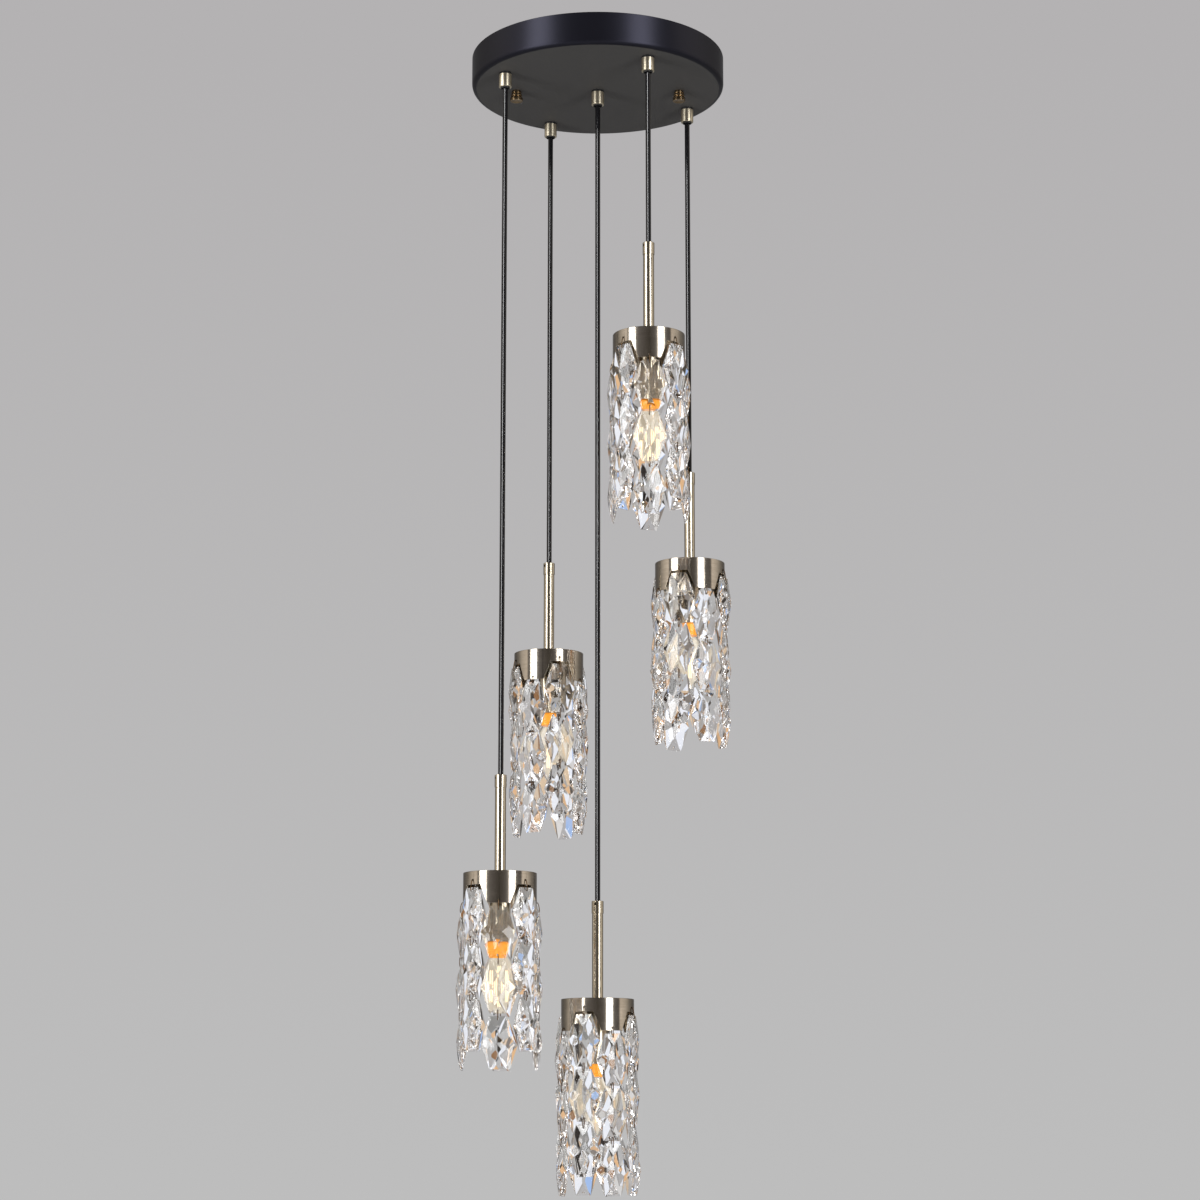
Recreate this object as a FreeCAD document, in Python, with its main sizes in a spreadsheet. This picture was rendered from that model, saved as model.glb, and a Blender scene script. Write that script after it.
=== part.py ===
"""Cluster pendant light: a ceiling pan from which five crystal-strung lamps hang on cords.

Frame: the origin is the centre of the pan's top rim, in the plane of the ceiling, and +Z is up.
The photograph was taken from the -Y side, with +X to its right. Lengths are in millimetres.
Lamp 1 hangs highest and lamp 5, the one in the middle, lowest.
"""

import FreeCAD, Part
import math
import os

import Sketcher

Vector = FreeCAD.Vector

doc = FreeCAD.newDocument("cluster_pendant")
sheet = doc.addObject("Spreadsheet::Sheet", "Sizes")


class Size:
    """A number together with the words that bind it to the sheet."""

    def __init__(self, number, words):
        self.number = number
        self.words = words

    def __add__(self, other):
        other = sized(other)
        return Size(self.number + other.number, f"({self.words} + {other.words})")

    def __sub__(self, other):
        other = sized(other)
        return Size(self.number - other.number, f"({self.words} - {other.words})")

    def __mul__(self, other):
        other = sized(other)
        return Size(self.number * other.number, f"({self.words} * {other.words})")

    def __truediv__(self, other):
        other = sized(other)
        return Size(self.number / other.number, f"({self.words} / {other.words})")

    def __neg__(self):
        return Size(-self.number, f"(0 - {self.words})")


def sized(thing):
    """A plain count or zero as a Size."""
    return thing if isinstance(thing, Size) else Size(thing, str(thing))


def sine(angle):
    return Size(math.sin(math.radians(angle.number)), f"sin({angle.words})")


def cosine(angle):
    return Size(math.cos(math.radians(angle.number)), f"cos({angle.words})")


row_count = 0


def size(alias, number):
    """One driving dimension: a cell of the sheet with its own name."""
    global row_count
    row_count += 1
    cell = f"B{row_count}"
    sheet.set(f"A{row_count}", alias.replace("_", " "))
    sheet.set(cell, str(number))
    sheet.setAlias(cell, alias)
    return Size(float(number), f"Sizes.{alias}")


# Ceiling pan
pan_radius = size("pan_radius", 150)
pan_height = size("pan_height", 38)
pan_wall = size("pan_wall", 1.2)
pan_edge = size("pan_edge", 3.6)

# Where the cords leave the pan: one in the middle and four on a circle round it
grip_rim_margin = size("grip_rim_margin", 27)
grip_circle = pan_radius - grip_rim_margin
grip_turn_angle = size("grip_turn_angle", 28.2)
grip_step_angle = size("grip_step_angle", 90)

# Cord, its grips and their nuts
cord_radius = size("cord_radius", 3)
cord_clearance = size("cord_clearance", 0.2)
grip_radius = size("grip_radius", 7.2)
grip_height = size("grip_height", 19.6)
grip_lip = size("grip_lip", 0.6)
grip_lip_height = size("grip_lip_height", 2.4)
mouth_radius = size("mouth_radius", 6)
mouth_depth = size("mouth_depth", 3.6)
nipple_radius = size("nipple_radius", 5)
nipple_rise = size("nipple_rise", 5.8)
thread_clearance = size("thread_clearance", 0.1)
grip_nut_width = size("grip_nut_width", 14)
grip_nut_height = size("grip_nut_height", 3)
bend_above = size("bend_above", 0.8)
bend_below = size("bend_below", 1.2)
bend_gap = size("bend_gap", 0.45)

# Crossbar, its studs and the knobs that hold the pan up
bar_width = size("bar_width", 20)
bar_thickness = size("bar_thickness", 2.5)
bar_middle = size("bar_middle", 60)
bar_joggle_run = size("bar_joggle_run", 6)
bar_joggle_drop = size("bar_joggle_drop", 5)
bar_end_margin = size("bar_end_margin", 10)
box_screw_spacing = size("box_screw_spacing", 88.9)
box_slot_width = size("box_slot_width", 5)
box_slot_length = size("box_slot_length", 12)
knob_spacing = size("knob_spacing", 194)
stud_radius = size("stud_radius", 2)
stud_clearance = size("stud_clearance", 0.05)
stud_hole_clearance = size("stud_hole_clearance", 0.5)
stud_bite = size("stud_bite", 9)
small_nut_width = size("small_nut_width", 7)
small_nut_height = size("small_nut_height", 3.2)
stud_head_height = size("stud_head_height", 2.2)
ground_screw_place = size("ground_screw_place", 22)
knob_height = size("knob_height", 13)
knob_collar_radius = size("knob_collar_radius", 6.5)
knob_collar_height = size("knob_collar_height", 4.5)
knob_radius = size("knob_radius", 7.5)
knob_dome = size("knob_dome", 1.4)
knob_tip_radius = size("knob_tip_radius", 4)
bore_spare = size("bore_spare", 0.6)

# Wiring inside the pan
block_length = size("block_length", 44)
block_depth = size("block_depth", 24)
block_height = size("block_height", 24)
block_place = size("block_place", 32)
tail_level = size("tail_level", 17)
tail_entry = size("tail_entry", 26)

# Lamps: how far each collar's top hangs below the pan, and how far each has turned on its cord
collar_drop_one = size("collar_drop_one", 335)
collar_drop_two = size("collar_drop_two", 565)
collar_drop_three = size("collar_drop_three", 664)
collar_drop_four = size("collar_drop_four", 940)
collar_drop_five = size("collar_drop_five", 1076)
turn_angle_one = size("turn_angle_one", 0)
turn_angle_two = size("turn_angle_two", 25)
turn_angle_three = size("turn_angle_three", -25.5)
turn_angle_four = size("turn_angle_four", 0)
turn_angle_five = size("turn_angle_five", 23.5)

# Stem and its cap
stem_length = size("stem_length", 95)
stem_radius = size("stem_radius", 6.25)
stem_wall = size("stem_wall", 1.2)
stem_cap_height = size("stem_cap_height", 15)
stem_cap_radius = size("stem_cap_radius", 6.75)
cord_seat = size("cord_seat", 3)
cord_fit = size("cord_fit", 0.05)

# Collar
collar_radius = size("collar_radius", 41)
collar_height = size("collar_height", 36)
collar_wall = size("collar_wall", 1.2)
collar_band = size("collar_band", 15)
cut_top_half_angle = size("cut_top_half_angle", 15)
cut_bottom_half_angle = size("cut_bottom_half_angle", 27)
tab_count = size("tab_count", 4)
cut_overrun = size("cut_overrun", 2)

# Socket and bulb
socket_radius = size("socket_radius", 12)
socket_end = size("socket_end", 72)
socket_nipple_rise = size("socket_nipple_rise", 10)
shell_radius = size("shell_radius", 7)
shell_length = size("shell_length", 26)
shell_clearance = size("shell_clearance", 0.1)
socket_bore_spare = size("socket_bore_spare", 1)
ring_radius = size("ring_radius", 9.5)
ring_height = size("ring_height", 14)
bulb_radius = size("bulb_radius", 17.5)
bulb_length = size("bulb_length", 66)
bulb_shoulder = size("bulb_shoulder", 20)
bulb_belly = size("bulb_belly", 11)
bulb_neck_radius = size("bulb_neck_radius", 9)
bulb_tip_radius = size("bulb_tip_radius", 2.5)

# Crystal: half of its length, widths and thicknesses, and the places where its facets meet
crystal_half_length = size("crystal_half_length", 28.5)
crystal_half_width = size("crystal_half_width", 19)
crystal_end_half_width = size("crystal_end_half_width", 9)
crystal_half_thickness = size("crystal_half_thickness", 6)
crystal_half_girdle = size("crystal_half_girdle", 0.8)
crystal_end_facet = size("crystal_end_facet", 13.7)
crystal_side_facet = size("crystal_side_facet", 7)

# Strands: eight round each collar, in turn from a cut-out and from a tab, on pins against its wall
crystal_gap = size("crystal_gap", 2.8)
crystals_in_strand = size("crystals_in_strand", 3)
cut_strand_start = size("cut_strand_start", 18.5)
tab_strand_start = size("tab_strand_start", 39.5)
cut_pin_level = size("cut_pin_level", 10)
tab_pin_level = size("tab_pin_level", 33)
pin_thickness = size("pin_thickness", 1.2)


def body(label):
    made = doc.addObject("PartDesign::Body", label)
    made.Label = label
    return made


def origin_plane(owner, role):
    return [plane for plane in owner.Origin.OriginFeatures if plane.Role == role][0]


def pin_down(sketch, geometry, end, x, y):
    """Hold one end of a line or arc at a place worked out from the sheet."""
    for kind, place, axis in (("DistanceX", x, -2), ("DistanceY", y, -1)):
        if place.number == 0:
            sketch.addConstraint(Sketcher.Constraint("PointOnObject", geometry, end, axis))
            continue
        held = Sketcher.Constraint(kind, -1, 1, geometry, end, place.number)
        index = sketch.addConstraint(held)
        sketch.setExpression(f"Constraints[{index}]", place.words)


def outline(owner, name, role, corners):
    """A closed sketch. A corner is (x, y), or (x, y, radius) where an arc leads to the next one.

    A positive radius bulges to the right of the way that the outline runs, a negative one to the left.
    """
    sketch = owner.newObject("Sketcher::SketchObject", name)
    sketch.AttachmentSupport = [(origin_plane(owner, role), "")]
    sketch.MapMode = "FlatFace"
    corners = [[sized(part) for part in corner] for corner in corners]
    starts = []
    for here, there in zip(corners, corners[1:] + corners[:1]):
        start = Vector(here[0].number, here[1].number, 0)
        end = Vector(there[0].number, there[1].number, 0)
        if len(here) == 2:
            geometry = sketch.addGeometry(Part.LineSegment(start, end))
        else:
            geometry = sketch.addGeometry(arc_between(start, end, here[2].number))
            held = Sketcher.Constraint("Radius", geometry, abs(here[2].number))
            index = sketch.addConstraint(held)
            sketch.setExpression(f"Constraints[{index}]", f"abs({here[2].words})")
        first = 1 if sketch.getPoint(geometry, 1).distanceToPoint(start) < 1e-6 else 2
        starts.append((geometry, first))
    for (geometry, first), corner, before in zip(starts, corners, starts[-1:] + starts[:-1]):
        pin_down(sketch, geometry, first, corner[0], corner[1])
        last = 3 - before[1]
        joined = Sketcher.Constraint("Coincident", before[0], last, geometry, first)
        sketch.addConstraint(joined)
    return sketch


def arc_between(start, end, radius):
    """The short arc between two points, on the side that the radius's sign gives."""
    chord = end - start
    half = chord.Length / 2
    rise = abs(radius) - math.sqrt(radius * radius - half * half)
    across = Vector(chord.y, -chord.x, 0).normalize() * math.copysign(rise, radius)
    return Part.Arc(start, (start + end) * 0.5 + across, end)


def turned(owner, name, corners):
    """A solid of revolution about the body's own Z axis, from its outline in radius and height."""
    sketch = outline(owner, name + "_outline", "XZ_Plane", corners)
    revolution = owner.newObject("PartDesign::Revolution", name)
    revolution.Profile = sketch
    revolution.ReferenceAxis = (sketch, ["V_Axis"])
    revolution.Angle = 360
    sketch.Visibility = False
    return revolution


def rod(radius, bottom, top):
    """The outline of a plain round rod."""
    return [(0, bottom), (radius, bottom), (radius, top), (0, top)]


def tube(bore, radius, bottom, top):
    """The outline of a plain round tube."""
    return [(bore, bottom), (radius, bottom), (radius, top), (bore, top)]


def place(thing, x, y, z, turn=None):
    """Set a piece down at a place worked out from the sheet."""
    for axis, distance in zip("xyz", (x, y, z)):
        distance = sized(distance)
        thing.setExpression(f"Placement.Base.{axis}", distance.words)
    if turn is not None:
        thing.setExpression("Placement.Rotation.Angle", turn.words)


def circles(owner, name, holes):
    """A sketch of round holes, each (x, y, radius), in the body's own XY plane."""
    sketch = owner.newObject("Sketcher::SketchObject", name)
    sketch.AttachmentSupport = [(origin_plane(owner, "XY_Plane"), "")]
    sketch.MapMode = "FlatFace"
    for x, y, radius in holes:
        x, y = sized(x), sized(y)
        centre = Vector(x.number, y.number, 0)
        circle = Part.Circle(centre, Vector(0, 0, 1), radius.number)
        geometry = sketch.addGeometry(circle)
        pin_down(sketch, geometry, 3, x, y)
        held = Sketcher.Constraint("Radius", geometry, radius.number)
        index = sketch.addConstraint(held)
        sketch.setExpression(f"Constraints[{index}]", radius.words)
    return sketch


def cut_through(owner, name, sketch):
    """A pocket that goes right through the body, both ways from its sketch."""
    pocket = owner.newObject("PartDesign::Pocket", name)
    pocket.Profile = sketch
    pocket.Type = "ThroughAll"
    pocket.Midplane = True
    sketch.Visibility = False
    return pocket


def together(label, pieces):
    """Several separate solids under one name."""
    group = doc.addObject("Part::Compound", label)
    group.Label = label
    group.Links = pieces
    return group


nodes = []


# Places of the five cords, in the order of the lamps: the highest lamp first
def on_grip_circle(steps):
    angle = grip_turn_angle + grip_step_angle * steps
    return grip_circle * cosine(angle), grip_circle * sine(angle)


cord_places = [
    on_grip_circle(3),
    on_grip_circle(0),
    on_grip_circle(1),
    on_grip_circle(2),
    (sized(0), sized(0)),
]
plate_outside = -pan_height
plate_inside = plate_outside + pan_wall
stud_place = knob_spacing / 2


def make_pan():
    pan = body("canopy")
    turned(
        pan,
        "pan",
        [
            (pan_radius, 0),
            (pan_radius - pan_wall, 0),
            (pan_radius - pan_wall, plate_outside + pan_edge),
            (pan_radius - pan_edge, plate_inside),
            (0, plate_inside),
            (0, plate_outside),
            (pan_radius - pan_edge, plate_outside),
            (pan_radius, plate_outside + pan_edge),
        ],
    )
    grip_hole = nipple_radius + thread_clearance
    stud_hole = stud_radius + stud_hole_clearance
    holes = [(x, y, grip_hole) for x, y in cord_places]
    holes += [(stud_place, 0, stud_hole), (-stud_place, 0, stud_hole)]
    cut_through(pan, "plate_holes", circles(pan, "plate_hole_places", holes))
    nodes.append(pan)


# The pan: a spun steel dish, open at the ceiling, with holes for the cord grips and the studs
make_pan()


# The crossbar: a joggled strap whose ends lie lower, so that the stud heads clear the ceiling
def make_crossbar():
    bar = body("crossbar")
    reach = stud_place + bar_end_margin
    low = bar_middle + bar_joggle_run
    side = outline(
        bar,
        "joggle",
        "XZ_Plane",
        [
            (-bar_middle, 0),
            (bar_middle, 0),
            (low, -bar_joggle_drop),
            (reach, -bar_joggle_drop),
            (reach, -bar_joggle_drop - bar_thickness),
            (low, -bar_joggle_drop - bar_thickness),
            (bar_middle, -bar_thickness),
            (-bar_middle, -bar_thickness),
            (-low, -bar_joggle_drop - bar_thickness),
            (-reach, -bar_joggle_drop - bar_thickness),
            (-reach, -bar_joggle_drop),
            (-low, -bar_joggle_drop),
        ],
    )
    strap = bar.newObject("PartDesign::Pad", "strap")
    strap.Profile = side
    strap.Midplane = True
    strap.setExpression("Length", bar_width.words)
    side.Visibility = False
    hole = stud_radius + stud_clearance
    places = [(stud_place, 0, hole), (-stud_place, 0, hole), (ground_screw_place, 0, hole)]
    cut_through(bar, "stud_holes", circles(bar, "stud_hole_places", places))
    for name, way in (("right_slot", 1), ("left_slot", -1)):
        middle = box_screw_spacing / 2 * way
        round_end = box_slot_width / 2
        straight = (box_slot_length - box_slot_width) / 2
        slot = outline(
            bar,
            name + "_place",
            "XY_Plane",
            [
                (middle - straight, -round_end),
                (middle + straight, -round_end, round_end),
                (middle + straight + round_end, 0, round_end),
                (middle + straight, round_end),
                (middle - straight, round_end, round_end),
                (middle - straight - round_end, 0, round_end),
            ],
        )
        cut_through(bar, name, slot)
    nodes.append(bar)


make_crossbar()


def hexagon(owner, name, width, bottom, height, bore=None):
    """A nut or a screw head: a hexagonal prism that stands on the height bottom."""
    half = width / 2
    corner = width * (1 / math.sqrt(3))
    flat = outline(
        owner,
        name + "_outline",
        "XY_Plane",
        [
            (corner, 0),
            (corner / 2, half),
            (-corner / 2, half),
            (-corner, 0),
            (-corner / 2, -half),
            (corner / 2, -half),
        ],
    )
    flat.setExpression("AttachmentOffset.Base.z", sized(bottom).words)
    prism = owner.newObject("PartDesign::Pad", name)
    prism.Profile = flat
    prism.setExpression("Length", height.words)
    flat.Visibility = False
    if bore is not None:
        cut_through(owner, name + "_bore", circles(owner, name + "_bore_place", [(0, 0, bore)]))


# Two studs that hang from the lowered ends of the crossbar, with their heads above it
def make_studs():
    studs = []
    for name, way in (("left_stud", -1), ("right_stud", 1)):
        stud = body(name)
        hexagon(stud, name + "_head", small_nut_width, -bar_joggle_drop, stud_head_height)
        shank = rod(stud_radius, plate_outside - stud_bite, -bar_joggle_drop)
        turned(stud, name + "_shank", shank)
        place(stud, stud_place * way, 0, 0)
        studs.append(stud)
    nodes.append(together("mounting_studs", studs))


make_studs()


# Nuts that lock the studs to the crossbar, and the screw for the ground wire
def make_crossbar_fasteners():
    fasteners = []
    under = -bar_joggle_drop - bar_thickness
    bore = stud_radius + stud_clearance
    for name, way in (("left_stud_nut", -1), ("right_stud_nut", 1)):
        nut = body(name)
        bottom = under - small_nut_height
        hexagon(nut, name + "_hexagon", small_nut_width, bottom, small_nut_height, bore)
        place(nut, stud_place * way, 0, 0)
        fasteners.append(nut)
    screw = body("ground_screw")
    bottom = -bar_thickness - stud_head_height
    hexagon(screw, "ground_screw_head", small_nut_width, bottom, stud_head_height)
    turned(screw, "ground_screw_shank", rod(stud_radius, -bar_thickness, 0))
    place(screw, ground_screw_place, 0, 0)
    fasteners.append(screw)
    nodes.append(together("crossbar_fasteners", fasteners))


make_crossbar_fasteners()


# Round knobs that screw onto the studs and press the pan to the ceiling
def make_knob(label, way):
    knob = body(label)
    bore = stud_radius + stud_clearance
    depth = stud_bite + bore_spare
    turned(
        knob,
        label + "_form",
        [
            (bore, 0),
            (knob_collar_radius, 0),
            (knob_collar_radius, -knob_collar_height),
            (knob_radius, -knob_collar_height),
            (knob_radius, -knob_height + knob_dome),
            (knob_tip_radius, -knob_height),
            (0, -knob_height),
            (0, -depth),
            (bore, -depth),
        ],
    )
    place(knob, stud_place * way, 0, plate_outside)
    nodes.append(knob)


make_knob("canopy_knob_left", -1)
make_knob("canopy_knob_right", 1)


# Cord grips: a barrel with a flared mouth under the plate, and a threaded nipple through it
grip_bore = cord_radius + cord_clearance
nipple_top = pan_wall + nipple_rise
pivot_level = plate_outside - grip_height + mouth_depth


def make_grips():
    grips = []
    nuts = []
    for number, (x, y) in enumerate(cord_places, 1):
        grip = body(f"grip_{number}")
        turned(
            grip,
            f"grip_{number}_form",
            [
                (grip_bore, nipple_top),
                (nipple_radius, nipple_top),
                (nipple_radius, 0),
                (grip_radius, 0),
                (grip_radius, -grip_height + grip_lip_height),
                (grip_radius + grip_lip, -grip_height + grip_lip_height),
                (grip_radius + grip_lip, -grip_height),
                (mouth_radius, -grip_height),
                (grip_bore, -grip_height + mouth_depth),
            ],
        )
        place(grip, x, y, plate_outside)
        grips.append(grip)
        nut = body(f"grip_nut_{number}")
        bore = nipple_radius + thread_clearance
        hexagon(nut, f"grip_nut_{number}_hexagon", grip_nut_width, 0, grip_nut_height, bore)
        place(nut, x, y, plate_inside)
        nuts.append(nut)
    nodes.append(together("cord_grips", grips))
    nodes.append(together("grip_locknuts", nuts))


make_grips()


# Terminal block on the floor of the pan, where the five cords are joined to the supply
def make_block():
    block = doc.addObject("Part::Box", "terminal_block")
    block.Label = "terminal_block"
    block.setExpression("Length", block_length.words)
    block.setExpression("Width", block_depth.words)
    block.setExpression("Height", block_height.words)
    place(block, -block_length / 2, block_place - block_depth / 2, plate_inside)
    nodes.append(block)


make_block()


# An arc of a cord takes this share of the shorter of its two runs
arc_reach_share = 0.45


def tube_along(points, radius):
    """A round cord along straight runs that are joined by arcs."""
    edges = []
    bends = []
    start = points[0]
    for before, here, after in zip(points, points[1:], points[2:]):
        back = before - here
        on = after - here
        reach = arc_reach_share * min(back.Length, on.Length)
        half = back.getAngle(on) / 2
        bend = reach * math.tan(half)
        back.normalize()
        on.normalize()
        towards_middle = (back + on).normalize()
        entry = here + back * reach
        leave = here + on * reach
        inside = here + towards_middle * (bend / math.sin(half) - bend)
        edges += [Part.LineSegment(start, entry).toShape(), Part.Arc(entry, inside, leave).toShape()]
        bends.append(round(bend, 1))
        start = leave
    edges.append(Part.LineSegment(start, points[-1]).toShape())
    path = Part.Wire(edges)
    ring = Part.Wire([Part.makeCircle(radius, points[0], points[1] - points[0])])
    cord = path.makePipeShell([ring], True, False)
    share_of_true_volume = cord.Volume / (math.pi * radius ** 2 * path.Length)
    print(f"cord of {path.Length:.0f} mm, bends {bends} mm, share of true volume {share_of_true_volume:.4f}")
    return cord


# Where each cord lies slack on its way across the pan. The middle one has no room for slack.
slack_places = [(33, -62), (76, 51), (-33, 94), (-58, -39), None]


# The fixed ends of the cords: up through the grips, across the pan and square into the block
def make_cord_tails():
    right = block_length.number / 2
    front = block_place.number - block_depth.number / 2
    back = block_place.number + block_depth.number / 2
    middle = block_place.number
    third = block_length.number / 3
    entries = [
        (Vector(third, front, 0), Vector(0, -1, 0)),
        (Vector(right, middle, 0), Vector(1, 0, 0)),
        (Vector(-third, back, 0), Vector(0, 1, 0)),
        (Vector(-third, front, 0), Vector(0, -1, 0)),
        (Vector(0, front, 0), Vector(0, -1, 0)),
    ]
    lowest = (pivot_level + bend_above + bend_gap).number
    level = -tail_level.number
    tails = []
    for (x, y), (entry, outwards), slack in zip(cord_places, entries, slack_places):
        foot = Vector(x.number, y.number, lowest)
        top = Vector(x.number, y.number, level)
        end = Vector(entry.x, entry.y, level)
        route = [foot, top, end]
        if slack:
            route[2:2] = [Vector(*slack, level), end + outwards * tail_entry.number]
        tails.append(tube_along(route, cord_radius.number))
    piece = doc.addObject("Part::Feature", "cord_tails")
    piece.Label = "cord_tails"
    piece.Shape = Part.makeCompound(tails)
    nodes.append(piece)


make_cord_tails()


# The long facets fall this share of the way from the middle to an end corner along the length
crystal_fall_share = 0.6825


# Crystal: an elongated hexagon whose two faces rise to a point over its middle
def crystal_solid():
    length = crystal_half_length.number
    width = crystal_half_width.number
    end_width = crystal_end_half_width.number
    thickness = crystal_half_thickness.number
    girdle = crystal_half_girdle.number
    apex = length - crystal_end_facet.number
    side = width - crystal_side_facet.number
    # the long facets pass through the middle, a corner of the end and both apexes
    fall_along = (thickness - girdle) / length * crystal_fall_share
    fall_across = (thickness - girdle - fall_along * length) / end_width
    faces = []
    for up in (1, -1):
        middle = Vector(0, 0, up * thickness)
        for along in (1, -1):
            tip = Vector(0, along * apex, up * (thickness - fall_along * apex))
            corners = [Vector(across * end_width, along * length, up * girdle) for across in (1, -1)]
            faces.append([tip, *corners])
            for across, corner in zip((1, -1), corners):
                flank = Vector(across * side, 0, up * (thickness - fall_across * side))
                waist = Vector(across * width, 0, up * girdle)
                faces.append([middle, tip, corner, flank])
                faces.append([flank, corner, waist])
    rim = [
        (end_width, length), (width, 0), (end_width, -length),
        (-end_width, -length), (-width, 0), (-end_width, length),
    ]
    for (x, y), (x_next, y_next) in zip(rim, rim[1:] + rim[:1]):
        faces.append([Vector(x, y, girdle), Vector(x_next, y_next, girdle),
                      Vector(x_next, y_next, -girdle), Vector(x, y, -girdle)])
    flats = [Part.Face(Part.makePolygon(corners + corners[:1])) for corners in faces]
    solid = Part.makeSolid(Part.makeShell(flats))
    if solid.Volume < 0:
        solid.reverse()
    return solid


def hanging(shape, angle, drop=0):
    """A shape made at the -Y side of the lamp's axis, lowered and turned round that axis."""
    placed = shape.copy()
    placed.translate(Vector(0, 0, -drop))
    placed.rotate(Vector(0, 0, 0), Vector(0, 0, 1), angle)
    return placed


def pin_between(radius, top, bottom):
    """An upright pin at the -Y side of the lamp's axis, from one depth under its collar's top to another."""
    width = pin_thickness.number
    return Part.makeBox(width, width, bottom - top, Vector(-width / 2, -radius - width / 2, -bottom))


def strand_shapes():
    """All crystals of a lamp, and the pins that join them, about the lamp's own axis."""
    half_pin = pin_thickness.number / 2
    radius = collar_radius.number + half_pin
    length = crystal_half_length.number * 2
    gap = crystal_gap.number
    upright = crystal_solid()
    upright.rotate(Vector(0, 0, 0), Vector(1, 0, 0), 90)
    upright.translate(Vector(0, -radius, -length / 2))
    crystals = []
    pins = []
    strand_count = tab_count.number * 2
    for strand in range(int(strand_count)):
        angle = 360 / strand_count * strand
        from_tab = strand % 2 == 0
        start = (tab_strand_start if from_tab else cut_strand_start).number
        level = (tab_pin_level if from_tab else cut_pin_level).number
        pins.append(hanging(pin_between(radius, level, start), angle))
        for place_in_strand in range(int(crystals_in_strand.number)):
            top = start + (length + gap) * place_in_strand
            bottom = top + length
            crystals.append(hanging(upright, angle, top))
            if place_in_strand < crystals_in_strand.number - 1:
                pins.append(hanging(pin_between(radius, bottom, bottom + gap), angle))
    return Part.makeCompound(crystals), Part.makeCompound(pins)


all_crystals, all_pins = strand_shapes()


def copied(label, shape, x, y, z, turn):
    """A lamp's own set of repeated solids, which is set down after its shape is made."""
    piece = doc.addObject("Part::Feature", label)
    piece.Label = label
    piece.Shape = shape
    place(piece, x, y, z, turn)
    nodes.append(piece)


# One lamp and its cord
def make_lamp(number, cord_place, drop, turn):
    x, y = cord_place
    collar_top = plate_outside - drop
    stem_top = collar_top + stem_length

    flex = body(f"cord_flex_{number}")
    turned(flex, f"cord_flex_{number}_form", rod(cord_radius, -bend_below, bend_above))
    place(flex, x, y, pivot_level)
    nodes.append(flex)

    cord = body(f"cord_{number}")
    top = pivot_level - bend_below - bend_gap
    turned(cord, f"cord_{number}_form", rod(cord_radius, stem_top + cord_seat, top))
    place(cord, x, y, 0)
    nodes.append(cord)

    cap = body(f"stem_cap_{number}")
    sleeve = tube(cord_radius + cord_fit, stem_cap_radius, 0, stem_cap_height)
    turned(cap, f"stem_cap_{number}_form", sleeve)
    place(cap, x, y, stem_top)
    nodes.append(cap)

    stem = body(f"stem_{number}")
    turned(stem, f"stem_{number}_form", tube(stem_radius - stem_wall, stem_radius, 0, stem_length))
    place(stem, x, y, collar_top)
    nodes.append(stem)

    make_collar(number, x, y, collar_top, turn)
    make_socket_and_bulb(number, x, y, collar_top)
    copied(f"crystals_{number}", all_crystals, x, y, collar_top, turn)
    copied(f"crystal_pins_{number}", all_pins, x, y, collar_top, turn)


# Collar: a brass cap with four cut-outs that leave four tabs, one of them at its -Y side
def make_collar(number, x, y, top, turn):
    collar = body(f"collar_{number}")
    inside = collar_radius - collar_wall
    hole = socket_nipple_radius() + thread_clearance
    turned(
        collar,
        f"collar_{number}_form",
        [
            (hole, 0),
            (collar_radius, 0),
            (collar_radius, -collar_height),
            (inside, -collar_height),
            (inside, -collar_wall),
            (hole, -collar_wall),
        ],
    )
    half_top = collar_radius * sine(cut_top_half_angle)
    half_bottom = collar_radius * sine(cut_bottom_half_angle)
    lean = (half_bottom - half_top) * (cut_overrun / (collar_height - collar_band))
    cut = outline(
        collar,
        f"collar_{number}_cut_outline",
        "XZ_Plane",
        [
            (-half_top, -collar_band),
            (half_top, -collar_band),
            (half_bottom + lean, -collar_height - cut_overrun),
            (-half_bottom - lean, -collar_height - cut_overrun),
        ],
    )
    pocket = collar.newObject("PartDesign::Pocket", f"collar_{number}_cut")
    pocket.Profile = cut
    pocket.setExpression("Length", (collar_radius + cut_overrun).words)
    cut.Visibility = False
    ring = collar.newObject("PartDesign::PolarPattern", f"collar_{number}_cuts")
    ring.Originals = [pocket]
    ring.Axis = (cut, ["V_Axis"])
    ring.Angle = 360
    ring.setExpression("Occurrences", tab_count.words)
    collar.Tip = ring
    half_step = sized(180) / tab_count
    place(collar, x, y, top, turn + half_step)
    nodes.append(collar)


def socket_nipple_radius():
    return stem_radius - stem_wall - thread_clearance


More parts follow.
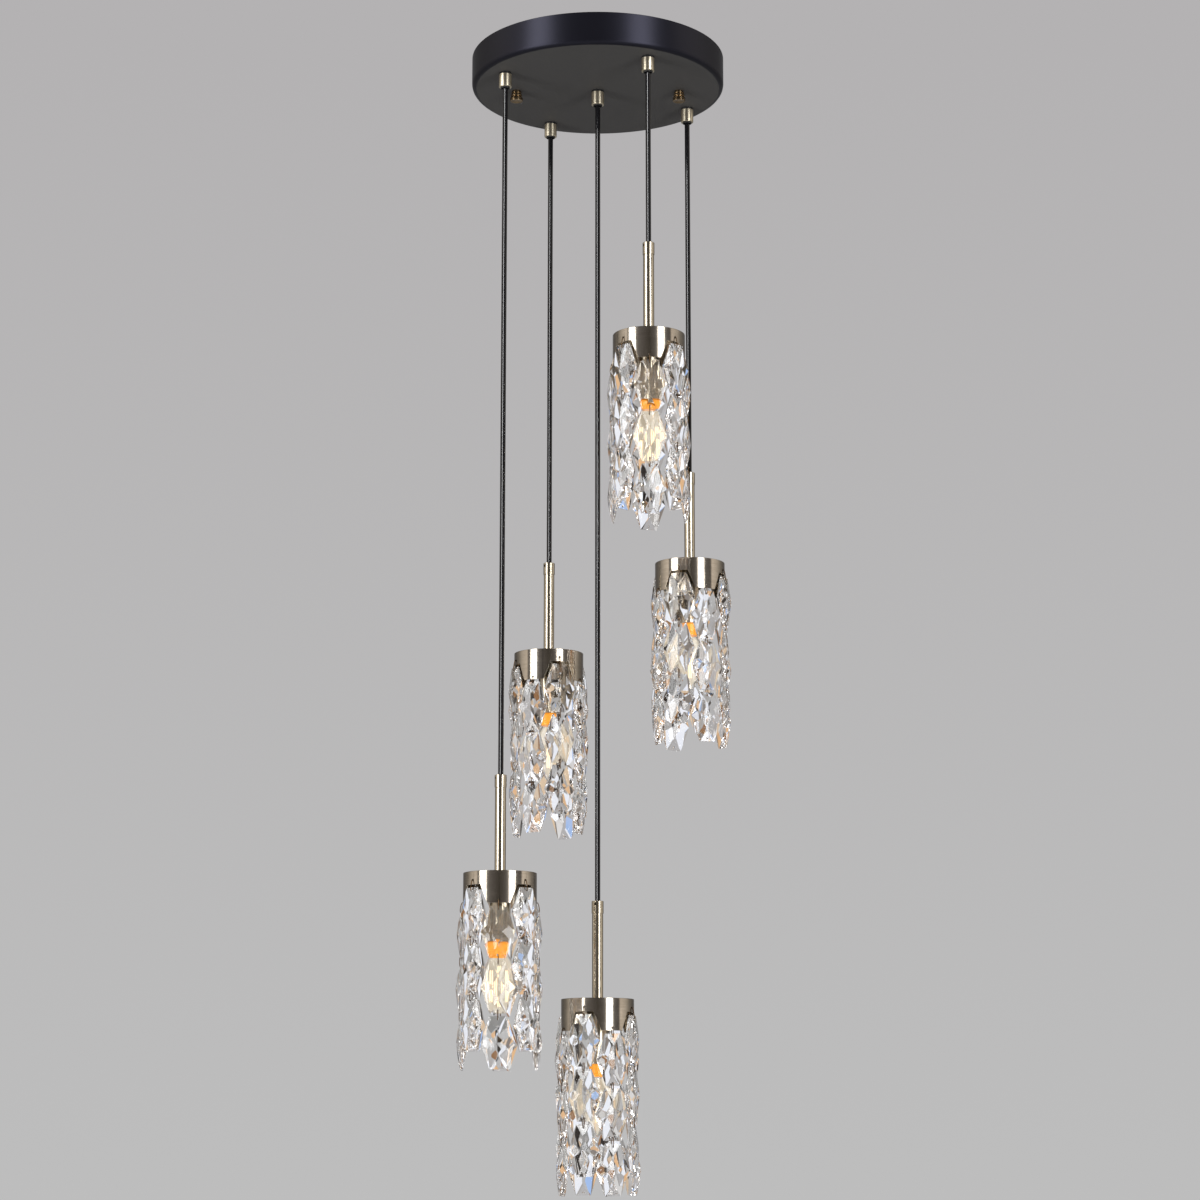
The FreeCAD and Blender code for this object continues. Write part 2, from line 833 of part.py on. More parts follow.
# Socket, with the nipple that holds collar and stem together, and the bulb that screws into it
def make_socket_and_bulb(number, x, y, top):
    socket = body(f"socket_{number}")
    bore = shell_radius + shell_clearance
    bore_top = -socket_end + shell_length + socket_bore_spare
    turned(
        socket,
        f"socket_{number}_form",
        [
            (0, socket_nipple_rise),
            (socket_nipple_radius(), socket_nipple_rise),
            (socket_nipple_radius(), -collar_wall),
            (socket_radius, -collar_wall),
            (socket_radius, -socket_end),
            (bore, -socket_end),
            (bore, bore_top),
            (0, bore_top),
        ],
    )
    place(socket, x, y, top)
    nodes.append(socket)

    base = body(f"bulb_base_{number}")
    turned(
        base,
        f"bulb_base_{number}_form",
        [
            (0, shell_length),
            (shell_radius, shell_length),
            (shell_radius, 0),
            (ring_radius, 0),
            (ring_radius, -ring_height),
            (0, -ring_height),
        ],
    )
    place(base, x, y, top - socket_end)
    nodes.append(base)

    glass = body(f"bulb_glass_{number}")
    turned(
        glass,
        f"bulb_glass_{number}_form",
        [
            (0, 0),
            (bulb_neck_radius, 0),
            (bulb_radius, -bulb_shoulder),
            (bulb_radius, -bulb_shoulder - bulb_belly),
            (bulb_tip_radius, -bulb_length),
            (0, -bulb_length),
        ],
    )
    place(glass, x, y, top - socket_end - ring_height)
    nodes.append(glass)


lamps = [
    (cord_places[0], collar_drop_one, turn_angle_one),
    (cord_places[1], collar_drop_two, turn_angle_two),
    (cord_places[2], collar_drop_three, turn_angle_three),
    (cord_places[3], collar_drop_four, turn_angle_four),
    (cord_places[4], collar_drop_five, turn_angle_five),
]
for number, (cord_place, drop, turn) in enumerate(lamps, 1):
    make_lamp(number, cord_place, drop, turn)

doc.recompute()

for thing in doc.Objects:
    wrong = {"Invalid", "Error"} & set(thing.State)
    if wrong:
        raise RuntimeError(f"{thing.Label} did not build: {sorted(wrong)}")

os.makedirs("parts", exist_ok=True)
for node in nodes:
    shape = node.Shape
    if shape.isNull() or not shape.isValid() or not shape.Solids:
        raise RuntimeError(f"{node.Label} is not a valid solid")
    shape.exportStep(f"parts/{node.Label}.step")
    print(f"{node.Label}: {len(shape.Solids)} solids, {shape.Volume:.0f} mm3")
print(f"{len(nodes)} nodes")
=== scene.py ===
# %% [markdown]
# # A cluster pendant light
#
# Five lamps hang on cords from one round ceiling pan, and each is a candle bulb in a cage of cut
# crystals. The frame holds every part at its real size, in metres, and already moves at its joints.
# This lesson gives each part the surface and the fine shape that the eye sees. It never changes a size.

# %% The frame
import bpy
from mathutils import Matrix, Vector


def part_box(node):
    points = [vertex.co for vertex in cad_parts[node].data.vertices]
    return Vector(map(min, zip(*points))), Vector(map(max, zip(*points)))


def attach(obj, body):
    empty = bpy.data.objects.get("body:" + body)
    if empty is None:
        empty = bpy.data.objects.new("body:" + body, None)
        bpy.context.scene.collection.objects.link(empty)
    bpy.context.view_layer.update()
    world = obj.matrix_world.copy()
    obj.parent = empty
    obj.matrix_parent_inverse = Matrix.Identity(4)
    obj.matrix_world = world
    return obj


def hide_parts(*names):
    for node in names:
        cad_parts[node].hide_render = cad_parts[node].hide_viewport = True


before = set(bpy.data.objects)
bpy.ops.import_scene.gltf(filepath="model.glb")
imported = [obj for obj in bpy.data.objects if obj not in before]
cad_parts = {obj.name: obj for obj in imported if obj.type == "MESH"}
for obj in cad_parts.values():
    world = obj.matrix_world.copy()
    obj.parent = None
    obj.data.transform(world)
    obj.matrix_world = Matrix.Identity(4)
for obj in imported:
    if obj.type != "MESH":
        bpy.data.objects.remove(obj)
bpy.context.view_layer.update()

# %% [markdown]
# Colours are written as they look on a screen, and the renderer works with light, so one function
# turns a hex value into linear light. Every material and every repeating part is a tree of nodes, so a
# second function adds one node, sets its values and links its inputs. An input that is the same all
# over a surface is set on the shader itself.

# %% Modules, units, colours and nodes
import math

import bmesh
import bpy
from mathutils import Matrix, Vector

MM = 0.001
FULL_TURN = 2 * math.pi
scene = bpy.context.scene


def linear(hex_colour):
    """An sRGB colour such as "#b8a67a" as linear light."""
    channels = [int(hex_colour[start:start + 2], 16) / 255 for start in (1, 3, 5)]
    lights = [c / 12.92 if c <= 0.04045 else ((c + 0.055) / 1.055) ** 2.4 for c in channels]
    return (*lights, 1)


def add(tree, kind, inputs=None, **settings):
    """Add one node. An input takes a value, a socket, or a node whose first output in use is linked."""
    node = tree.nodes.new(kind)
    for name, value in settings.items():
        setattr(node, name, value)
    for name, value in (inputs or {}).items():
        if isinstance(value, bpy.types.Node):
            value = next(socket for socket in value.outputs if socket.enabled)
        if isinstance(value, bpy.types.NodeSocket):
            tree.links.new(value, node.inputs[name])
        else:
            node.inputs[name].default_value = value
    return node


def material_called(name):
    """An empty material and its tree, ready for nodes."""
    print("finish:", name)
    material = bpy.data.materials.new(name)
    material.use_nodes = True
    material.node_tree.nodes.clear()
    return material, material.node_tree


# %% [markdown]
# ## The camera
#
# The photograph was taken with a long lens from below the middle of the light, looking up a little, so
# that the underside of the pan shows as a flat ellipse. The lens follows from the size of the lamps in
# the picture, and the tilt from how far the ellipse is open.

# %% Camera
IMAGE_SIDE = 1200
FOCAL_PIXELS = 2825
SENSOR = 36
CAMERA_PLACE = (0.0027, -3.2, -1.273)
CAMERA_TILT = 10.89

camera_data = bpy.data.cameras.new("camera")
camera_data.sensor_width = SENSOR
camera_data.lens = SENSOR * FOCAL_PIXELS / IMAGE_SIDE
camera = bpy.data.objects.new("camera", camera_data)
camera.location = CAMERA_PLACE
camera.rotation_euler = (math.radians(90 + CAMERA_TILT), 0, 0)
scene.collection.objects.link(camera)
scene.camera = camera
print(f"camera: {camera_data.lens:.1f} mm lens")

# %% [markdown]
# ## Finishes
#
# Hardly any real surface is quite even. Where a finish varies, its colour, its gloss and its relief can
# follow the same grain, so one function makes most of the finishes here: one noise, as coarse as the
# grain of the real surface, and a shader that reads it. Clear glass has no grain, and gets none.

# %% Most finishes
def make_finish(name, inputs, grains=0, detail=2, stretch=1, colours=(), gloss=(), relief=(),
                pattern="ShaderNodeTexNoise"):
    """A material with so many grains to the metre. Colour and gloss lie between two values each."""
    material, tree = material_called(name)
    inputs = dict(inputs)
    if grains:
        place = add(tree, "ShaderNodeTexCoord").outputs["Object"]
        along = add(tree, "ShaderNodeMapping", {"Vector": place, "Scale": (1, 1, stretch)})
        noise = add(tree, pattern, {"Vector": along, "Scale": grains, "Detail": detail})
    if colours:
        first, second = map(linear, colours)
        mix = {0: noise, 6: first, 7: second}
        inputs["Base Color"] = add(tree, "ShaderNodeMix", mix, data_type="RGBA")
    if gloss:
        span = {"Value": noise, "To Min": gloss[0], "To Max": gloss[1]}
        inputs["Roughness"] = add(tree, "ShaderNodeMapRange", span)
    if relief:
        bump = {"Height": noise, "Strength": relief[0], "Distance": relief[1]}
        inputs["Normal"] = add(tree, "ShaderNodeBump", bump)
    if "Emission Strength" in inputs:
        inputs.setdefault("Emission Color", inputs["Base Color"])
    shader = add(tree, "ShaderNodeBsdfPrincipled", inputs)
    add(tree, "ShaderNodeOutputMaterial", {"Surface": shader})
    return material


# %% [markdown]
# ## The cords
#
# Each lamp hangs on 6 mm round cord with a smooth black PVC sheath. The sheath is extruded, so its
# gloss is soft and runs along the cord in one thin light line, and it carries faint lengthwise waves.
# Noise that is stretched along the cord gives those waves.

# %% PVC sheath
SHEATH_WAVE = 1.5 * MM
RELIEF_DEPTH = 0.05 * MM

black_sheath = make_finish(
    "extruded black PVC sheath", {"IOR": 1.53}, grains=1 / SHEATH_WAVE, stretch=0.06,
    colours=("#060608", "#0e0e11"), gloss=(0.14, 0.18), relief=(0.01, RELIEF_DEPTH),
)

# %% [markdown]
# A cord that carries a weight hangs dead straight, so its line needs no more than its two ends and
# points between them. Its ends are read from the frame: the top is where it bends in the mouth of its
# grip, and the foot is inside the cap of the stem.

# %% Hanging cords
LAMPS = (1, 2, 3, 4, 5)
CORD_POINTS = 5


def middle_of(node):
    low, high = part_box(node)
    return (low + high) / 2


def curve_called(name, routes, radius, material=None, closed=False, roundness=6, steps=8):
    """Round cord or wire along one or more routes, each a list of points in metres."""
    curve = bpy.data.curves.new(name, "CURVE")
    curve.dimensions = "3D"
    curve.bevel_depth = radius
    curve.bevel_resolution = roundness
    curve.resolution_u = steps
    curve.use_fill_caps = not closed
    if material:
        curve.materials.append(material)
    for route in routes:
        spline = curve.splines.new("NURBS")
        spline.points.add(len(route) - 1)
        for point, place in zip(spline.points, route):
            point.co = (*place, 1)
        spline.order_u = 3
        spline.use_cyclic_u = closed
        spline.use_endpoint_u = not closed
    made = bpy.data.objects.new(name, curve)
    scene.collection.objects.link(made)
    return made


def make_cord(lamp):
    top = middle_of(f"cord_flex_{lamp}")
    top.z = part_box(f"cord_flex_{lamp}")[1].z
    low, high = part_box(f"cord_{lamp}")
    foot = Vector((top.x, top.y, low.z))
    route = [top.lerp(foot, step / (CORD_POINTS - 1)) for step in range(CORD_POINTS)]
    diameter = high.x - low.x
    cord = curve_called(f"hanging_cord_{lamp}", [route], diameter / 2, black_sheath)
    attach(cord, f"cord_{lamp}")
    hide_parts(f"cord_{lamp}", f"cord_flex_{lamp}")


for lamp in LAMPS:
    make_cord(lamp)

# %% [markdown]
# Inside the pan each cord goes on: up through its grip, over to the terminal block with a little slack,
# and straight into the block. These routes follow the frame's own, and a smooth curve runs along them.

# %% Cord tails
TAIL_LEVEL = -0.017
TAIL_ENTRY = 0.026
SLACK_PLACES = [(0.033, -0.062), (0.076, 0.051), (-0.033, 0.094), (-0.058, -0.039), None]


def make_tails():
    low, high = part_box("terminal_block")
    middle = middle_of("terminal_block")
    third = (high.x - low.x) / 3
    front, back, right = Vector((0, -1, 0)), Vector((0, 1, 0)), Vector((1, 0, 0))
    entries = [
        (Vector((third, low.y, TAIL_LEVEL)), front),
        (Vector((high.x, middle.y, TAIL_LEVEL)), right),
        (Vector((-third, high.y, TAIL_LEVEL)), back), (Vector((-third, low.y, TAIL_LEVEL)), front),
        (Vector((0, low.y, TAIL_LEVEL)), front),
    ]
    foot_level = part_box("cord_tails")[0].z
    routes = []
    for lamp, (end, outwards), slack in zip(LAMPS, entries, SLACK_PLACES):
        place = middle_of(f"cord_{lamp}")
        route = [Vector((place.x, place.y, foot_level)), Vector((place.x, place.y, TAIL_LEVEL)), end]
        if slack:
            route[2:2] = [Vector((*slack, TAIL_LEVEL)), end + outwards * TAIL_ENTRY]
        routes.append(route)
    low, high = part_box("cord_1")
    tails = curve_called("cord_tails_in_pan", routes, (high.x - low.x) / 2, black_sheath)
    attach(tails, "ceiling_pan")
    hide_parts("cord_tails")
    print("cord tails:", len(routes))


make_tails()

# %% [markdown]
# ## Turned parts
#
# Canopy, grips, knobs, stems, caps, sockets and bulbs are all round about an upright axis. On a lathe
# the turner follows an outline, and so does this function: it rounds each corner with a short arc,
# because a real edge is never sharp and its rounding is what catches the light, and then carries the
# outline round the axis.

# %% Lathe
ARC_STEPS = 4


def rounded(corners):
    """An outline in millimetres. A corner is (radius, height) or (radius, height, rounding)."""
    points = []
    befores = corners[-1:] + corners[:-1]
    afters = corners[1:] + corners[:1]
    for before, here, after in zip(befores, corners, afters):
        corner = Vector((here[0], 0, here[1]))
        if len(here) == 2:
            points.append(corner)
            continue
        way_back = (Vector((before[0], 0, before[1])) - corner).normalized()
        way_on = (Vector((after[0], 0, after[1])) - corner).normalized()
        half = way_back.angle(way_on) / 2
        middle = corner + (way_back + way_on).normalized() * (here[2] / math.sin(half))
        reach = here[2] / math.tan(half)
        start = (corner + way_back * reach - middle).normalized()
        end = (corner + way_on * reach - middle).normalized()
        ways = [start.slerp(end, step / ARC_STEPS) for step in range(ARC_STEPS + 1)]
        points += [middle + way * here[2] for way in ways]
    return points


def mesh_from(shape, name):
    """A mesh in metres from a bmesh in millimetres."""
    bmesh.ops.scale(shape, vec=(MM, MM, MM), verts=shape.verts)
    mesh = bpy.data.meshes.new(name)
    shape.to_mesh(mesh)
    shape.free()
    return mesh


def lathe(corners, steps=96):
    """A closed body turned about the upright axis through the origin."""
    shape = bmesh.new()
    rings = []
    for point in rounded(corners):
        if point.x == 0:
            rings.append([shape.verts.new((0, 0, point.z))])
            continue
        angles = [FULL_TURN * step / steps for step in range(steps)]
        places = [(point.x * math.sin(a), -point.x * math.cos(a), point.z) for a in angles]
        rings.append([shape.verts.new(place) for place in places])
    for here, there in zip(rings, rings[1:] + rings[:1]):
        for step in range(steps):
            following = step + 1
            corners_round = [
                here[step % len(here)],
                here[following % len(here)],
                there[following % len(there)],
                there[step % len(there)],
            ]
            face = list(dict.fromkeys(corners_round))
            if len(face) > 2:
                shape.faces.new(face)
    bmesh.ops.recalc_face_normals(shape, faces=shape.faces)
    return mesh_from(shape, "turned")


# %% Rods and measures
def rod(radius, foot, top, steps):
    """A plain cylinder between two heights."""
    return lathe([(0, foot), (radius, foot), (radius, top), (0, top)], steps)


def measured(node):
    """The middle of a node's foot, and its radius and height in millimetres."""
    low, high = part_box(node)
    foot = middle_of(node)
    foot.z = low.z
    return foot, (high.x - low.x) / 2 / MM, (high.z - low.z) / MM


# %% [markdown]
# Modifiers do the rest of the shaping: a boolean cuts, a bevel breaks an edge, and weighted normals
# keep flats flat beside their rounded edges. Each is used on a carrier object and turned into plain
# mesh at once, so that a finished part has nothing live on it.

# %% Modifiers, cutting and finished parts
SHARP_ANGLE = math.radians(40)


def modified(mesh, modifiers):
    """The mesh after some modifiers, each a kind with its settings or its tree's inputs."""
    carrier = bpy.data.objects.new("carrier", mesh)
    scene.collection.objects.link(carrier)
    for kind, settings in modifiers:
        modifier = carrier.modifiers.new(kind.lower(), kind)
        for name, value in settings.items():
            if name.startswith("Socket"):
                modifier[name] = value
            else:
                setattr(modifier, name, value)
    evaluated = carrier.evaluated_get(bpy.context.evaluated_depsgraph_get())
    made = bpy.data.meshes.new_from_object(evaluated)
    bpy.data.objects.remove(carrier)
    return made


def cut(mesh, cutters):
    """The mesh with each cutter's space taken out of it."""
    holders = []
    for cutter in cutters:
        holder = bpy.data.objects.new("cutter", cutter)
        scene.collection.objects.link(holder)
        holders.append(holder)
    steps = [("BOOLEAN", {"object": holder, "solver": "EXACT"}) for holder in holders]
    made = modified(mesh, steps)
    for holder in holders:
        bpy.data.objects.remove(holder)
    return made


def smoothed(mesh):
    """The mesh with round faces shaded round and flat ones flat."""
    mesh.shade_smooth()
    mesh.set_sharp_from_angle(angle=SHARP_ANGLE)
    return modified(mesh, [("WEIGHTED_NORMAL", {"keep_sharp": True})])


def part(name, mesh, place, body, slot, material, *nodes):
    """Set a mesh down at its place as a part that moves with a body and stands for nodes."""
    print(f"{name}: {len(mesh.polygons)} faces")
    mesh.transform(Matrix.Translation(place))
    mesh.materials.clear()
    mesh.materials.append(material)
    made = bpy.data.objects.new(name, mesh)
    scene.collection.objects.link(made)
    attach(made, body)
    if nodes:
        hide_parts(*nodes)
    return made


# %% [markdown]
# ## The ceiling pan
#
# The pan is spun from steel sheet and finished in black enamel. Enamel is a hard coat that flows
# before it sets, so it keeps a very shallow orange peel, a few millimetres wide, which blurs what it
# mirrors. The side is satin and nearly black, with a trace of blue, and its reflections are tinted blue
# as a painted colour of the light. The underside is flatter, and it is painted a lighter grey as
# painted light from below. It begins where the rounding of the edge ends.

# %% Black enamel
ORANGE_PEEL = 2.5 * MM
CLOUDS_PER_METRE = 12
PAINTED_LIGHT_UNDERSIDE_ABOVE = 0.15 * MM
UNDERSIDE_DULLER = 0.35


def make_enamel():
    """Satin enamel, and a flatter enamel painted lighter grey as painted light from below, wherever the
    pan is within a hair's breadth of its underside.
    """
    material, tree = material_called("satin black enamel on spun steel")
    place = add(tree, "ShaderNodeTexCoord").outputs["Object"]
    peel = add(tree, "ShaderNodeTexNoise", {"Vector": place, "Scale": 1 / ORANGE_PEEL, "Detail": 3})
    cloud = add(tree, "ShaderNodeTexNoise", {"Vector": place, "Scale": CLOUDS_PER_METRE, "Detail": 4})
    level = add(tree, "ShaderNodeSeparateXYZ", {"Vector": place})
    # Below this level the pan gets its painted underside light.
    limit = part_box("canopy")[0].z + PAINTED_LIGHT_UNDERSIDE_ABOVE
    below = add(tree, "ShaderNodeMath", {0: level.outputs["Z"], 1: limit}, operation="LESS_THAN")
    # The second pair is painted light: the underside gets a lighter grey than the black side, for the
    # light it catches from below.
    side_and_painted_underside_colours = (("#0b0b0f", "#121217"), ("#444341", "#484745"))
    side_and_painted_underside_tones = [
        add(tree, "ShaderNodeMix", {0: cloud, 6: linear(first), 7: linear(second)}, data_type="RGBA")
        for first, second in side_and_painted_underside_colours
    ]
    coat = add(tree, "ShaderNodeMix", {0: below, 6: side_and_painted_underside_tones[0], 7: side_and_painted_underside_tones[1]}, data_type="RGBA")
    satin = add(tree, "ShaderNodeMapRange", {"Value": cloud, "To Min": 0.3, "To Max": 0.34})
    gloss = add(tree, "ShaderNodeMath", {
        0: below, 1: UNDERSIDE_DULLER, 2: satin,
    }, operation="MULTIPLY_ADD")
    relief = add(tree, "ShaderNodeBump", {"Height": peel, "Strength": 0.05, "Distance": RELIEF_DEPTH})
    shader = add(tree, "ShaderNodeBsdfPrincipled", {
        "Base Color": coat,
        "Roughness": gloss,
        "Normal": relief,
        "IOR": 1.5,
        "Specular IOR Level": 0.25,
        # The blue specular tint is a painted colour of the light in the enamel's reflections.
        "Specular Tint": linear("#dcdcff"),
    })
    add(tree, "ShaderNodeOutputMaterial", {"Surface": shader})
    return material


black_enamel = make_enamel()

# %% Ceiling pan
PAN_EDGE = 6
PAN_WALL = 1.2
PAN_RIM_ROUNDING = 0.4
PAN_STEPS = 256


def make_pan():
    foot, radius, height = measured("canopy")
    outline = [
        (0, 0), (radius, 0, PAN_EDGE), (radius, height, PAN_RIM_ROUNDING),
        (radius - PAN_WALL, height, PAN_RIM_ROUNDING),
        (radius - PAN_WALL, PAN_WALL, PAN_EDGE - PAN_WALL), (0, PAN_WALL),
    ]
    mesh = smoothed(lathe(outline, PAN_STEPS))
    part("ceiling_pan", mesh, foot, "ceiling_pan", "black_enamel", black_enamel, "canopy")
    print(f"pan: {radius * 2:.0f} mm across, {len(mesh.polygons)} faces")


make_pan()

# %% [markdown]
# ## Brass
#
# The metal is brass that was brushed on a lathe, darkened and lacquered: the colour lies between
# nickel and gold, and the brushing runs round each part. Brushed metal spreads a highlight across the
# scratches, so on these upright parts a lamp becomes a tall bright strip. The shader's anisotropy does
# that, with its direction taken round the upright axis. Fine rings of noise add the scratches that
# can be seen. They are drawn about 0.6 mm apart, coarser than real ones, so that they show at all. The
# knobs have a darker lacquer. The grips have a duller one that catches more of the light boxes, because
# a shiny barrel would only mirror the dark pan over it, and their brass is painted lighter than the
# rest, as painted light.

# %% Brushed brass
SCRATCH = 0.6 * MM
SCRATCH_STRETCH = 0.03
PATINA_PER_METRE = 60


def make_brass(name, light, dark, gloss_low, gloss_high):
    material, tree = material_called(name)
    place = add(tree, "ShaderNodeTexCoord").outputs["Object"]
    around = add(tree, "ShaderNodeMapping", {
        "Vector": place, "Scale": (SCRATCH_STRETCH, SCRATCH_STRETCH, 1),
    })
    scratches = add(tree, "ShaderNodeTexNoise", {"Vector": around, "Scale": 1 / SCRATCH, "Detail": 3})
    patina = add(tree, "ShaderNodeTexNoise", {"Vector": place, "Scale": PATINA_PER_METRE, "Detail": 4})
    both = add(tree, "ShaderNodeMath", {0: scratches, 1: patina}, operation="MULTIPLY")
    share = add(tree, "ShaderNodeMapRange", {"Value": both, "From Min": 0.1, "From Max": 0.4})
    colour = add(tree, "ShaderNodeMix", {0: share, 6: linear(dark), 7: linear(light)}, data_type="RGBA")
    gloss = add(tree, "ShaderNodeMapRange", {
        "Value": scratches, "To Min": gloss_low, "To Max": gloss_high,
    })
    relief = add(tree, "ShaderNodeBump", {
        "Height": scratches, "Strength": 0.02, "Distance": RELIEF_DEPTH,
    })
    round_axis = add(tree, "ShaderNodeTangent", direction_type="RADIAL", axis="Z")
    shader = add(tree, "ShaderNodeBsdfPrincipled", {
        "Base Color": colour,
        "Metallic": 1,
        "Roughness": gloss,
        "Anisotropic": 0.7,
        "Anisotropic Rotation": 0.25,
        "Tangent": round_axis,
        "Normal": relief,
    })
    add(tree, "ShaderNodeOutputMaterial", {"Surface": shader})
    return material


antique_brass = make_brass("antique brass, brushed round", "#cdc3b0", "#b9b09c", 0.19, 0.23)
collar_brass = make_brass("antique brass, brushed and nickel-toned", "#c9c0b2", "#aea597", 0.15, 0.2)
# The grips' lighter colours are painted light, standing in for light that the pan keeps off them.
grip_brass_painted_light = make_brass("antique brass, dull lacquer, painted lighter", "#e6dcc6", "#d2c8b0", 0.36, 0.4)
knob_brass = make_brass("antique brass, dark lacquer", "#ab9472", "#6f5a40", 0.16, 0.24)

# %% [markdown]
# Each cord leaves the pan through a grip: a turned brass barrel between a black rubber washer, which
# keeps its edge off the enamel, and a black rubber bush in its mouth, which is flared so that the cord
# can bend. The frame gives the five places.

# %% Black rubber
black_rubber = make_finish(
    "moulded black rubber", {"Roughness": 0.55}, grains=2000, colours=("#0a0a0b", "#161617"),
)

# %% Cord grips
GRIP_RADIUS = 7.5
GRIP_BORE = 3.2
GRIP_HEIGHT = 19.6
GRIP_ROUNDING = 0.5
WASHER_RADIUS = 7
WASHER_HEIGHT = 2.2
BUSH_RADIUS = 5.4
BUSH_MOUTH = 4.6
BUSH_SHOWS = 1.6
BUSH_TOP = 6
BUSH_ROUNDING = 0.3
NIPPLE_RADIUS = 5
NIPPLE_TOP = 7


def make_grip(lamp):
    place = middle_of(f"cord_{lamp}")
    place.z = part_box("canopy")[0].z
    foot = BUSH_SHOWS - GRIP_HEIGHT
    bush_top = BUSH_TOP - GRIP_HEIGHT
    barrel_outline = [
        (GRIP_BORE, NIPPLE_TOP), (NIPPLE_RADIUS, NIPPLE_TOP), (NIPPLE_RADIUS, -WASHER_HEIGHT),
        (GRIP_RADIUS, -WASHER_HEIGHT, GRIP_ROUNDING), (GRIP_RADIUS, foot, GRIP_ROUNDING),
        (BUSH_RADIUS, foot), (BUSH_RADIUS, bush_top), (GRIP_BORE, bush_top),
    ]
    washer_outline = [
        (NIPPLE_RADIUS, 0), (WASHER_RADIUS, 0), (WASHER_RADIUS, -WASHER_HEIGHT),
        (NIPPLE_RADIUS, -WASHER_HEIGHT),
    ]
    bush_outline = [
        (GRIP_BORE, bush_top), (BUSH_RADIUS, bush_top), (BUSH_RADIUS, -GRIP_HEIGHT, BUSH_ROUNDING),
        (BUSH_MOUTH, -GRIP_HEIGHT, BUSH_ROUNDING), (GRIP_BORE, BUSH_TOP / 2 - GRIP_HEIGHT),
    ]
    nodes = ["cord_grips"] if lamp == 1 else []
    barrel = smoothed(lathe(barrel_outline))
    part(f"cord_grip_{lamp}", barrel, place, "ceiling_pan", "antique_brass", grip_brass_painted_light, *nodes)
    rubber = smoothed(joined([lathe(washer_outline), lathe(bush_outline)]))
    part(f"grip_rubber_{lamp}", rubber, place, "ceiling_pan", "black_cord", black_rubber)


# %% [markdown]
# ## What repeats
#
# Crystals, the rings they hang on and drilled holes all repeat in the same way: some number of copies
# round an upright axis, and then again at the next level down. One Geometry Nodes tree does that. It
# makes the points, works out each place from the point's number, puts a copy there, and lets it sway a
# little by a seeded random turn.

# %% Tree that sets things round an axis and down
def make_round_and_down():
    tree = bpy.data.node_groups.new("round and down", "GeometryNodeTree")
    wanted = {
        "Thing": "Object", "Material": "Material", "Count": "Int", "Levels": "Int",
        "Radius": "Float", "First Drop": "Float", "Pitch": "Float", "Start Angle": "Float",
        "Sway": "Vector", "Seed": "Int",
    }
    for name, kind in wanted.items():
        tree.interface.new_socket(name=name, in_out="INPUT", socket_type="NodeSocket" + kind)
    tree.interface.new_socket(name="Geometry", in_out="OUTPUT", socket_type="NodeSocketGeometry")
    given = add(tree, "NodeGroupInput").outputs
    total = add(tree, "ShaderNodeMath", {0: given["Count"], 1: given["Levels"]}, operation="MULTIPLY")
    points = add(tree, "GeometryNodePoints", {"Count": total})
    number = add(tree, "GeometryNodeInputIndex")
    share = add(tree, "ShaderNodeMath", {0: number, 1: given["Count"]}, operation="DIVIDE")
    level = add(tree, "ShaderNodeMath", {0: share}, operation="FLOOR")
    turns = add(tree, "ShaderNodeMath", {0: share}, operation="FRACT")
    angle = add(tree, "ShaderNodeMath", {
        0: turns, 1: FULL_TURN, 2: given["Start Angle"],
    }, operation="MULTIPLY_ADD")
    drop = add(tree, "ShaderNodeMath", {
        0: level, 1: given["Pitch"], 2: given["First Drop"],
    }, operation="MULTIPLY_ADD")
    upright = add(tree, "ShaderNodeCombineXYZ", {"Z": angle})
    outwards = add(tree, "ShaderNodeMath", {0: given["Radius"], 1: -1}, operation="MULTIPLY")
    downwards = add(tree, "ShaderNodeMath", {0: drop, 1: -1}, operation="MULTIPLY")
    before = add(tree, "ShaderNodeCombineXYZ", {"Y": outwards, "Z": downwards})
    place = add(tree, "ShaderNodeVectorRotate", {
        "Vector": before, "Rotation": upright,
    }, rotation_type="EULER_XYZ")
    moved = add(tree, "GeometryNodeSetPosition", {"Geometry": points, "Position": place})
    least = add(tree, "ShaderNodeVectorMath", {0: given["Sway"], 1: (-1, -1, -1)}, operation="MULTIPLY")
    sway = add(tree, "FunctionNodeRandomValue", {
        0: least, 1: given["Sway"], "ID": number, "Seed": given["Seed"],
    }, data_type="FLOAT_VECTOR")
    turn = add(tree, "ShaderNodeVectorMath", {0: upright, 1: sway}, operation="ADD")
    facing = add(tree, "FunctionNodeEulerToRotation", {0: turn})
    thing = add(tree, "GeometryNodeObjectInfo", {"Object": given["Thing"]})
    copies = add(tree, "GeometryNodeInstanceOnPoints", {
        "Points": moved,
        "Instance": thing.outputs["Geometry"],
        "Rotation": facing,
    })
    real = add(tree, "GeometryNodeRealizeInstances", {0: copies})
    painted = add(tree, "GeometryNodeSetMaterial", {"Geometry": real, "Material": given["Material"]})
    add(tree, "NodeGroupOutput", {0: painted})
    return tree


round_and_down = make_round_and_down()
print("round and down:", len(round_and_down.nodes), "nodes")

